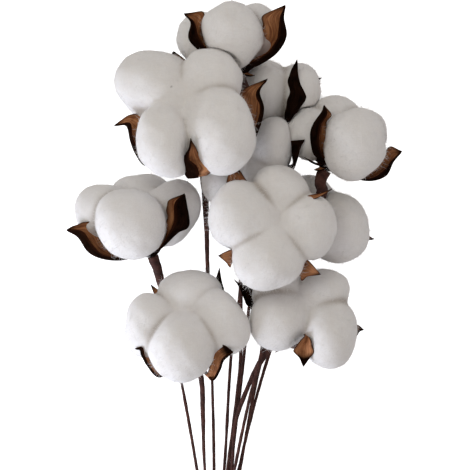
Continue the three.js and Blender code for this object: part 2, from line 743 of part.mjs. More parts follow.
// A bur keeps clear of its own stem.
const burs = BOLLS.map((boll) => largest(burBody(boll, 0).subtract(stemBody(boll, GAP))));

// Lint gives way to every bur and stem, and to the lint of the bolls that press on it.
const PRESS_ORDER = ["02", "07", "10", "04", "09", "05", "08", "01", "06", "03"];
const lint = new Map();
const pressing = [];
const hard = BOLLS.map((boll) => burBody(boll, LINT_GAP).add(stemBody(boll, LINT_GAP)));
for (const name of PRESS_ORDER) {
  const boll = BOLLS.find((one) => one.name === name);
  let body = lockBody(boll, 0).subtract(slab);
  for (const other of [...hard, ...pressing]) body = body.subtract(other);
  lint.set(name, largest(body));
  pressing.push(lockBody(boll, LINT_GAP));
}

const group = new THREE.Group();
group.name = "cotton_stem_bunch";

function addNode(name, solid, look) {
  const mesh = new THREE.Mesh(toGeometry(solid), new THREE.MeshStandardMaterial(look));
  mesh.name = name;
  group.add(mesh);
}

BOLLS.forEach((boll, i) => {
  addNode(`lint_${boll.name}`, lint.get(boll.name), LINT);
  addNode(`bur_${boll.name}`, burs[i], BUR);
  addNode(`stem_${boll.name}`, stems[i], TAPE);
});

// Centre the bunch over the origin, standing on the table.
const box = new THREE.Box3().setFromObject(group);
for (const mesh of group.children) {
  mesh.geometry.translate(-(box.min.x + box.max.x) / 2, -(box.min.y + box.max.y) / 2, 0);
}

export default group;
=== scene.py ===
"""Looks of a bunch of ten dried cotton stems lying on a table.

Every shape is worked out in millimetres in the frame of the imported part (X across the bunch, Y from
the cut ends to the heads, Z up from the table) and goes into its mesh in metres.
"""

import logging
from dataclasses import dataclass, field
from enum import Enum

import bpy
import numpy as np
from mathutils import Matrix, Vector


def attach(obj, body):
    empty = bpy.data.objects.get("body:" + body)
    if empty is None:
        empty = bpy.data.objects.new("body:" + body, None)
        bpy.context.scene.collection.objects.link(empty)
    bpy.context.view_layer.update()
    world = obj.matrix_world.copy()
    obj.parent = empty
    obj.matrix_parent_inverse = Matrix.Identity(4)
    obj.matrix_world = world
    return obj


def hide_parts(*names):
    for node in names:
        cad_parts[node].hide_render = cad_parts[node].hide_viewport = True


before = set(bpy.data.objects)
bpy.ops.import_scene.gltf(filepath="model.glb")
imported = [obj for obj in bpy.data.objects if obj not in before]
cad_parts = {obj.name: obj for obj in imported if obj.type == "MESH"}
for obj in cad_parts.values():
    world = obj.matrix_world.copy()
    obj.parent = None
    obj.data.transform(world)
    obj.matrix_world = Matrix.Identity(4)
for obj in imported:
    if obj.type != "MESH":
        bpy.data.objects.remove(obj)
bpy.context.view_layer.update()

LOG = logging.getLogger("cotton_bunch")

Array = np.ndarray
Point = tuple[float, float, float]

MM = 0.001
LINT_GAP = 0.5  # clearance of the lint from burs, stems and other bolls
VOXEL = 0.85  # grain of the lint skin

# Radius and height of the cup's outline, from where the stem meets it to its rim.
CUP_PROFILE = ((2.0, -2.2), (3.4, -1.6), (4.7, -0.4), (5.0, 0.6), (4.3, 1.3), (3.0, 1.5))


class Slot(Enum):
    """Material slots of the part's record."""

    LINT = "lint"
    BUR = "bur"
    TAPE = "tape"


class BladeKind(Enum):
    """The two kinds of dried blade on a boll."""

    VALVE = "valve"
    BRACT = "bract"


# Small helpers on arrays


def unit(v: Array) -> Array:
    """Gives vectors of length one along the last axis.

    Args:
        v: One vector, or an array of them.

    Returns:
        The same vectors divided by their lengths.
    """
    return v / np.maximum(np.linalg.norm(v, axis=-1, keepdims=True), 1e-12)


def smoothstep(low: float, high: float, x: Array) -> Array:
    """Rises from 0 at low to 1 at high, level at both ends (3t squared less 2t cubed)."""
    t = np.clip((x - low) / (high - low), 0.0, 1.0)
    return t * t * (3.0 - 2.0 * t)


def ripple(points: Array, wavelength: float, seed: int, waves: int = 14) -> Array:
    """Soft random relief: the mean of sines that run in seeded random directions.

    Args:
        points: Places to read, one row each, in millimetres.
        wavelength: Mean length of a wave; single waves are 0.7 to 1.4 times that.
        seed: Seed of the draw.
        waves: How many sines are summed.

    Returns:
        One value for each point, mostly between -1 and 1.
    """
    rng = np.random.default_rng(seed)
    heading = unit(rng.normal(size=(waves, 3)))
    pace = 2.0 * np.pi / (wavelength * rng.uniform(0.7, 1.4, waves))
    phase = rng.uniform(0.0, 2.0 * np.pi, waves)
    return np.sin(points @ heading.T * pace + phase).sum(axis=-1) / np.sqrt(waves)


def turned_about_z(v: Array, degrees: float) -> Array:
    """Turns vectors about the Z axis.

    Args:
        v: Vectors, last axis X, Y, Z.
        degrees: Angle, counter-clockwise from above.

    Returns:
        The turned vectors.
    """
    c, s = np.cos(np.radians(degrees)), np.sin(np.radians(degrees))
    return v @ np.array([[c, s, 0.0], [-s, c, 0.0], [0.0, 0.0, 1.0]])


def smooth_path(points: Array, count: int, per_span: int = 24) -> Array:
    """Evenly spaced points on a centripetal Catmull-Rom curve.

    Each span is the cubic whose end slopes come from the neighbouring points, weighted by the
    square root of their distances. The end points are mirrored to give the outer neighbours.

    Args:
        points: Points that the curve goes through, one row each.
        count: How many points to give back.
        per_span: Samples of each span before the even spacing.

    Returns:
        count rows at even arc length from the first point to the last.
    """
    p = np.vstack([2 * points[0] - points[1], points, 2 * points[-1] - points[-2]])
    a, b, c, d = p[:-3], p[1:-2], p[2:-1], p[3:]
    ab, bc, cd = (np.linalg.norm(y - x, axis=1)[:, None] ** 0.5 for x, y in ((a, b), (b, c), (c, d)))
    slope_b = ((b - a) / ab - (c - a) / (ab + bc) + (c - b) / bc) * bc
    slope_c = ((c - b) / bc - (d - b) / (bc + cd) + (d - c) / cd) * bc
    t = np.linspace(0.0, 1.0, per_span, endpoint=False)[None, :, None]
    b, c, slope_b, slope_c = (x[:, None, :] for x in (b, c, slope_b, slope_c))
    cubic = b + slope_b * t + (3 * (c - b) - 2 * slope_b - slope_c) * t**2
    cubic = cubic + (2 * (b - c) + slope_b + slope_c) * t**3
    dense = np.vstack([cubic.reshape(-1, points.shape[1]), points[-1]])
    arc = np.concatenate([[0.0], np.cumsum(np.linalg.norm(np.diff(dense, axis=0), axis=1))])
    even = np.linspace(0.0, arc[-1], count)
    return np.column_stack([np.interp(even, arc, dense[:, k]) for k in range(points.shape[1])])


def cross_axes(direction: Array, helper: Array) -> tuple[Array, Array]:
    """Two directions square to a given one.

    Args:
        direction: Unit vectors, one row each, or one vector.
        helper: A vector that none of them runs along.

    Returns:
        Two arrays of unit vectors.
    """
    u = unit(np.cross(np.broadcast_to(helper, direction.shape), direction))
    return u, np.cross(direction, u)


# Surfaces and meshes


@dataclass
class Surface:
    """A closed mesh as arrays: points in millimetres, faces, and values at each point."""

    points: Array
    faces: list[Array]
    marks: dict[str, Array] = field(default_factory=dict)

    @staticmethod
    def joined(parts: list["Surface"]) -> "Surface":
        """Puts several surfaces into one, without welding them.

        Args:
            parts: Surfaces that carry the same marks.

        Returns:
            One surface with all their points, faces and marks.
        """
        starts = np.cumsum([0] + [len(part.points) for part in parts[:-1]])
        faces = [block + start for part, start in zip(parts, starts) for block in part.faces]
        marks = {
            name: np.concatenate([part.marks[name] for part in parts]) for name in parts[0].marks
        }
        return Surface(np.concatenate([part.points for part in parts]), faces, marks)

    def mesh(self, name: str) -> bpy.types.Mesh:
        """Makes a Blender mesh with smooth faces and one attribute for each mark.

        Args:
            name: Name of the mesh.

        Returns:
            The new mesh, in metres.
        """
        mesh = bpy.data.meshes.new(name)
        loops = np.concatenate([block.ravel() for block in self.faces]).astype(np.int32)
        sizes = np.concatenate([np.full(len(block), block.shape[1]) for block in self.faces])
        starts = np.concatenate([[0], np.cumsum(sizes)[:-1]]).astype(np.int32)
        mesh.vertices.add(len(self.points))
        mesh.vertices.foreach_set("co", (self.points * MM).astype(np.float32).ravel())
        mesh.loops.add(len(loops))
        mesh.loops.foreach_set("vertex_index", loops)
        mesh.polygons.add(len(sizes))
        mesh.polygons.foreach_set("loop_start", starts)
        mesh.update(calc_edges=True)
        mesh.validate()
        mesh.polygons.foreach_set("use_smooth", np.ones(len(mesh.polygons), bool))
        for mark, values in self.marks.items():
            layer = mesh.attributes.new(mark, "FLOAT", "POINT")
            layer.data.foreach_set("value", values.astype(np.float32))
        return mesh


def closed_skin(rings: Array, first_pole: Array, last_pole: Array, marks: dict[str, Array]) -> Surface:
    """Skin over a grid of rings, closed with a fan to one point at either end.

    Args:
        rings: Points of shape (rows, sides, 3); each row is a closed loop.
        first_pole: Point before the first ring.
        last_pole: Point after the last ring.
        marks: Values of shape (rows, sides); each pole takes the mean of its ring.

    Returns:
        The surface, its faces pointing out.
    """
    rows, sides = rings.shape[:2]
    points = np.vstack([rings.reshape(-1, 3), first_pole, last_pole])
    r, k = np.meshgrid(np.arange(rows - 1), np.arange(sides), indexing="ij")
    a = (r * sides + k).ravel()
    b = (r * sides + (k + 1) % sides).ravel()
    quads = np.column_stack([a, b, b + sides, a + sides])
    k = np.arange(sides)
    after = (k + 1) % sides
    first, last, top = rows * sides, rows * sides + 1, (rows - 1) * sides
    fans = np.vstack(
        [
            np.column_stack([np.full(sides, first), after, k]),
            np.column_stack([np.full(sides, last), top + k, top + after]),
        ]
    )
    halves = np.vstack([quads[:, [0, 1, 2]], quads[:, [0, 2, 3]], fans])
    corner = points - points.mean(axis=0)
    volume = np.einsum(
        "ij,ij->i", corner[halves[:, 0]], np.cross(corner[halves[:, 1]], corner[halves[:, 2]])
    ).sum()
    if volume < 0:
        quads, fans = quads[:, ::-1], fans[:, ::-1]
    flat = {
        name: np.concatenate([value.ravel(), [value[0].mean(), value[-1].mean()]])
        for name, value in marks.items()
    }
    return Surface(points, [quads, fans], flat)


def place(mesh: bpy.types.Mesh, finish: bpy.types.Material, node: str | None) -> None:
    """Puts a mesh into the scene as a piece of the part.

    Args:
        mesh: The piece's mesh, in place.
        finish: Its material.
        node: The CAD node that it stands for, if any.
    """
    piece = bpy.data.objects.new(mesh.name, mesh)
    bpy.context.scene.collection.objects.link(piece)
    mesh.materials.clear()
    mesh.materials.append(finish)
    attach(piece, "root")
    if node:
        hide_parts(node)
    LOG.info("%s: %d faces", mesh.name, len(mesh.polygons))


# Material helpers


class Nodes:
    """Short calls for building a node tree."""

    def __init__(self, tree: bpy.types.NodeTree) -> None:
        """Keeps the tree to build in."""
        self.tree = tree

    def add(self, kind: str, values: dict[str, object] | None = None, **settings: object) -> bpy.types.Node:
        """Adds a node.

        Args:
            kind: Blender's type name of the node.
            values: Values or links for its input sockets, by socket name.
            **settings: Properties of the node.

        Returns:
            The new node.
        """
        node = self.tree.nodes.new(kind)
        for key, value in settings.items():
            setattr(node, key, value)
        for key, value in (values or {}).items():
            self.put(node.inputs[key], value)
        return node

    def put(self, socket: bpy.types.NodeSocket, value: object) -> None:
        """Links a socket to another, or sets its value."""
        if isinstance(value, bpy.types.NodeSocket):
            self.tree.links.new(value, socket)
        else:
            socket.default_value = value

    def mix(self, share: object, a: object, b: object) -> bpy.types.NodeSocket:
        """Mixes two colours.

        Args:
            share: Share of the second colour, a value or a socket.
            a: First colour.
            b: Second colour.

        Returns:
            The mixed colour's socket.
        """
        node = self.tree.nodes.new("ShaderNodeMix")
        node.data_type = "RGBA"
        self.put(node.inputs[0], share)
        self.put(node.inputs[6], a)
        self.put(node.inputs[7], b)
        return node.outputs[2]

    def math(self, operation: str, a: object, b: object = 0.0) -> bpy.types.NodeSocket:
        """Adds a Math node.

        Args:
            operation: Blender's name of the operation.
            a: First number.
            b: Second number.

        Returns:
            Its result.
        """
        node = self.tree.nodes.new("ShaderNodeMath")
        node.operation = operation
        self.put(node.inputs[0], a)
        self.put(node.inputs[1], b)
        return node.outputs[0]

    def ramp(self, value: object, low: float, high: float) -> bpy.types.NodeSocket:
        """Maps a value to 0 at low and 1 at high, kept between them."""
        node = self.add("ShaderNodeMapRange", {"Value": value, "From Min": low, "From Max": high})
        return node.outputs["Result"]

    def mark(self, name: str) -> bpy.types.NodeSocket:
        """Reads an attribute of the piece as a number."""
        return self.add("ShaderNodeAttribute", attribute_name=name).outputs["Fac"]


def rgb(red: int, green: int, blue: int) -> tuple[float, float, float, float]:
    """Turns a screen colour of 0 to 255 into the linear colour that a shader takes."""
    s = np.array([red, green, blue]) / 255.0
    linear = np.where(s <= 0.04045, s / 12.92, ((s + 0.055) / 1.055) ** 2.4)
    return (float(linear[0]), float(linear[1]), float(linear[2]), 1.0)


def grain_group() -> bpy.types.NodeTree:
    """Node group with cloudy mottling and fine fibres, shared by all the finishes.

    Mottle is one noise at a coarse scale. Fibre is the mean of two noises at a fine scale, each
    drawn out in one direction, so that short threads cross.

    Returns:
        The group, with inputs Coarse and Fine and outputs Mottle and Fibre.
    """
    name = "dry_grain"
    if name in bpy.data.node_groups:
        return bpy.data.node_groups[name]
    tree = bpy.data.node_groups.new(name, "ShaderNodeTree")
    for socket, value in (("Coarse", 120.0), ("Fine", 1500.0)):
        made = tree.interface.new_socket(socket, in_out="INPUT", socket_type="NodeSocketFloat")
        made.default_value = value
    for socket in ("Mottle", "Fibre"):
        tree.interface.new_socket(socket, in_out="OUTPUT", socket_type="NodeSocketFloat")
    n = Nodes(tree)
    given = n.add("NodeGroupInput")
    where = n.add("ShaderNodeTexCoord").outputs["Object"]
    mottle = n.add("ShaderNodeTexNoise", {"Vector": where, "Scale": given.outputs["Coarse"], "Detail": 4.0})
    threads = []
    for stretch, turn in (((1.0, 0.12, 1.0), 0.4), ((0.12, 1.0, 1.0), -0.5)):
        placing = {"Vector": where, "Rotation": (0.6, turn, turn), "Scale": stretch}
        drawn = n.add("ShaderNodeMapping", placing)
        noise = n.add(
            "ShaderNodeTexNoise",
            {"Vector": drawn.outputs[0], "Scale": given.outputs["Fine"], "Detail": 3.0, "Distortion": 1.2},
        )
        threads.append(noise.outputs[0])
    fibre = n.math("MULTIPLY", n.math("ADD", threads[0], threads[1]), 0.5)
    out = n.add("NodeGroupOutput")
    n.put(out.inputs["Mottle"], mottle.outputs[0])
    n.put(out.inputs["Fibre"], fibre)
    return tree


@dataclass(frozen=True)
class Finish:
    """What every finish has: a name, and the scales of its grain in cycles a metre."""

    name: str
    coarse: float
    fine: float

    def start(self) -> tuple[bpy.types.Material, Nodes, bpy.types.Node, bpy.types.Node]:
        """Makes an empty node material.

        Returns:
            The material, its nodes' helper, its Principled shader and its grain group.
        """
        material = bpy.data.materials.new(self.name)
        material.use_nodes = True
        n = Nodes(material.node_tree)
        shader = material.node_tree.nodes["Principled BSDF"]
        grain = n.add("ShaderNodeGroup", node_tree=grain_group())
        grain.inputs["Coarse"].default_value = self.coarse
        grain.inputs["Fine"].default_value = self.fine
        return material, n, shader, grain

    @staticmethod
    def relief(n: Nodes, shader: bpy.types.Node, height: object, strength: float, depth: float) -> None:
        """Gives the shader a bump: its height, how strong it is, and how deep in metres."""
        bump = n.add("ShaderNodeBump", {"Height": height, "Strength": strength, "Distance": depth})
        n.put(shader.inputs["Normal"], bump.outputs[0])

    @staticmethod
    def between(n: Nodes, socket: bpy.types.NodeSocket, value: object, low: float, high: float) -> None:
        """Drives a socket from low to high as a value runs from 0 to 1."""
        node = n.add("ShaderNodeMapRange", {"Value": value, "To Min": low, "To Max": high})
        n.put(socket, node.outputs["Result"])


@dataclass(frozen=True)
class LintFinish(Finish):
    """Soft white lint, with painted shade darkening the creases between the locks and the lint near the
    base.
    """

    name: str = "cotton_lint"
    coarse: float = 70.0
    fine: float = 1700.0

    def material(self) -> bpy.types.Material:
        """Builds the material: mottled white, painted crease shade, felt bump and sheen."""
        material, n, shader, grain = self.start()
        white = n.mix(grain.outputs["Mottle"], rgb(247, 245, 244), rgb(234, 230, 227))
        fibre = n.ramp(grain.outputs["Fibre"], 0.35, 0.65)
        white = n.mix(n.math("MULTIPLY", fibre, 0.2), white, rgb(206, 200, 196))
        # Painted shade: the lint in the creases between locks and near the base is darkened towards a warm
        # grey.
        hollow = n.math("MULTIPLY", n.mark("hollow"), 0.85)
        colour = n.mix(hollow, white, rgb(178, 168, 158))
        colour = n.mix(n.mark("speck"), colour, rgb(70, 52, 40))
        n.put(shader.inputs["Base Color"], colour)
        shader.inputs["Roughness"].default_value = 1.0
        shader.inputs["Specular IOR Level"].default_value = 0.15
        shader.inputs["Sheen Weight"].default_value = 0.25
        shader.inputs["Sheen Roughness"].default_value = 0.6
        shader.inputs["Subsurface Weight"].default_value = 0.2
        shader.inputs["Subsurface Radius"].default_value = (1.0, 0.9, 0.8)
        shader.inputs["Subsurface Scale"].default_value = 0.003
        self.relief(n, shader, grain.outputs["Fibre"], 0.4, 0.0005)
        return material


@dataclass(frozen=True)
class BurFinish(Finish):
    """Dried valve: tan and veined inside, almost black outside, dark at beak and rim."""

    name: str = "dry_bur"
    coarse: float = 260.0
    fine: float = 1400.0

    def material(self) -> bpy.types.Material:
        """Builds the material from the marks inner, along, across and edge of the blades."""
        material, n, shader, grain = self.start()
        along = n.math("MULTIPLY", n.mark("along"), 2.0)
        across = n.math("MULTIPLY", n.mark("across"), 9.0)
        where = n.add("ShaderNodeCombineXYZ", {"X": along, "Y": across}).outputs[0]
        noise = {"Vector": where, "Scale": 2.0, "Detail": 5.0, "Distortion": 0.4}
        veins = n.add("ShaderNodeTexNoise", noise).outputs[0]
        tan = n.mix(n.ramp(veins, 0.36, 0.64), rgb(140, 88, 56), rgb(200, 142, 98))
        blotch = n.math("MULTIPLY", n.ramp(grain.outputs["Mottle"], 0.5, 0.78), 0.6)
        tan = n.mix(blotch, tan, rgb(88, 46, 28))
        dark = n.mix(n.ramp(grain.outputs["Mottle"], 0.35, 0.75), rgb(12, 6, 4), rgb(36, 20, 13))
        dark = n.mix(n.math("MULTIPLY", n.ramp(veins, 0.55, 0.78), 0.45), dark, rgb(66, 38, 26))
        colour = n.mix(n.mark("inner"), dark, tan)
        rim = n.math("MULTIPLY", n.ramp(n.mark("edge"), 0.84, 0.98), 0.85)
        colour = n.mix(rim, colour, rgb(46, 21, 11))
        n.put(shader.inputs["Base Color"], colour)
        n.put(shader.inputs["Specular IOR Level"], n.math("MULTIPLY", n.mark("inner"), 0.1))
        self.between(n, shader.inputs["Roughness"], grain.outputs["Mottle"], 0.38, 0.7)
        threads = n.math("MULTIPLY", grain.outputs["Fibre"], 0.4)
        height = n.math("ADD", n.math("MULTIPLY", veins, 0.8), threads)
        self.relief(n, shader, height, 0.6, 0.0006)
        return material


@dataclass(frozen=True)
class TapeFinish(Finish):
    """Brown paper tape wound round wire: darker at the laps, with a few pale rubbed places."""

    name: str = "brown_tape"
    coarse: float = 200.0
    fine: float = 1600.0

    def material(self) -> bpy.types.Material:
        """Builds the material from the mark lap of the winding."""
        material, n, shader, grain = self.start()
        shader.inputs["Specular IOR Level"].default_value = 0.25
        brown = n.mix(n.ramp(grain.outputs["Mottle"], 0.3, 0.7), rgb(54, 29, 25), rgb(92, 56, 48))
        rubbed = n.math("MULTIPLY", n.ramp(grain.outputs["Fibre"], 0.5, 0.75), 0.5)
        brown = n.mix(rubbed, brown, rgb(126, 96, 86))
        brown = n.mix(n.math("MULTIPLY", n.mark("lap"), 0.6), brown, rgb(38, 20, 18))
        n.put(shader.inputs["Base Color"], brown)
        self.between(n, shader.inputs["Roughness"], grain.outputs["Mottle"], 0.6, 0.9)
        self.relief(n, shader, grain.outputs["Fibre"], 0.5, 0.0004)
        return material


@dataclass(frozen=True)
class FloorFinish(Finish):
    """Plain white table that looks evenly bright, but gives off no light to the bunch."""

    name: str = "pale_floor"
    coarse: float = 6.0
    fine: float = 300.0
    glow: float = 0.0
    seen_glow: float = 1.0

    def material(self) -> bpy.types.Material:
        """Builds the material: nearly white with a trace of mottling, brighter to the eye."""
        material, n, shader, grain = self.start()
        white = n.mix(grain.outputs["Mottle"], rgb(246, 246, 246), rgb(243, 243, 243))
        n.put(shader.inputs["Base Color"], white)
        shader.inputs["Roughness"].default_value = 0.9
        shader.inputs["Emission Color"].default_value = (1.0, 1.0, 1.0, 1.0)
        seen = n.add("ShaderNodeLightPath").outputs["Is Camera Ray"]
        self.between(n, shader.inputs["Emission Strength"], seen, self.glow, self.seen_glow)
        return material


# The bolls


@dataclass(frozen=True)
class Lock:
    """One lock of lint: centre, half sizes and turn about Z in degrees."""

    at: Point
    size: Point
    turn: float = 0.0


@dataclass(frozen=True)
class Valve:
    """A valve: the end of its beak, and its width as a share of the usual.

    A valve that shows is a folded leaf of its own form. near and far are the points that its two
    rims pass through from the cup to the shoulder, near being the one next to the eye, and fold
    those of the crease between them. tan_end is the share of its length where the tan of the
    inside ends.
    """

    tip: Point
    wide: float = 1.0
    tan_end: float = 0.88
    near: tuple[Point, ...] = ()
    fold: tuple[Point, ...] = ()
    far: tuple[Point, ...] = ()


@dataclass(frozen=True)
class Boll:
    """One stem with its boll.

    base is where the bur meets the stem. valves holds the valve that follows each lock, None where
    an even one does. bracts are the ends of dried bract pieces. stem lists points on the way
    to the tie, slot is X and Z there, end the cut end, and neck the stem's diameter at the bur and
    the length over which it thins to the wire. specks are bits of dry leaf on the lint.
    """

    name: str
    base: Point
    locks: tuple[Lock, ...]
    valves: tuple[Valve | None, ...]
    bracts: tuple[Point, ...]
    stem: tuple[Point, ...]
    slot: tuple[float, float]
    end: Point
    neck: tuple[float, float]
    specks: tuple[Point, ...] = ()

    @property
    def foot(self) -> Array:
        """The base point as an array."""
        return np.array(self.base)

    @property
    def centre(self) -> Array:
        """The mean of the locks' centres."""
        return np.mean([lock.at for lock in self.locks], axis=0)

    @property
    def axis(self) -> Array:
        """Direction from the base to the middle of the lint."""
        return unit(self.centre - self.foot)

    @property
    def width(self) -> float:
        """Mean width across the axis."""
        offset = np.array([lock.at for lock in self.locks]) - self.centre
        offset -= np.outer(offset @ self.axis, self.axis)
        spread = np.linalg.norm(offset, axis=1) + [lock.size[0] for lock in self.locks]
        return float(2.0 * spread.mean())

    @property
    def seed(self) -> int:
        """Seed of this boll's random draws."""
        return 100 * int(self.name)


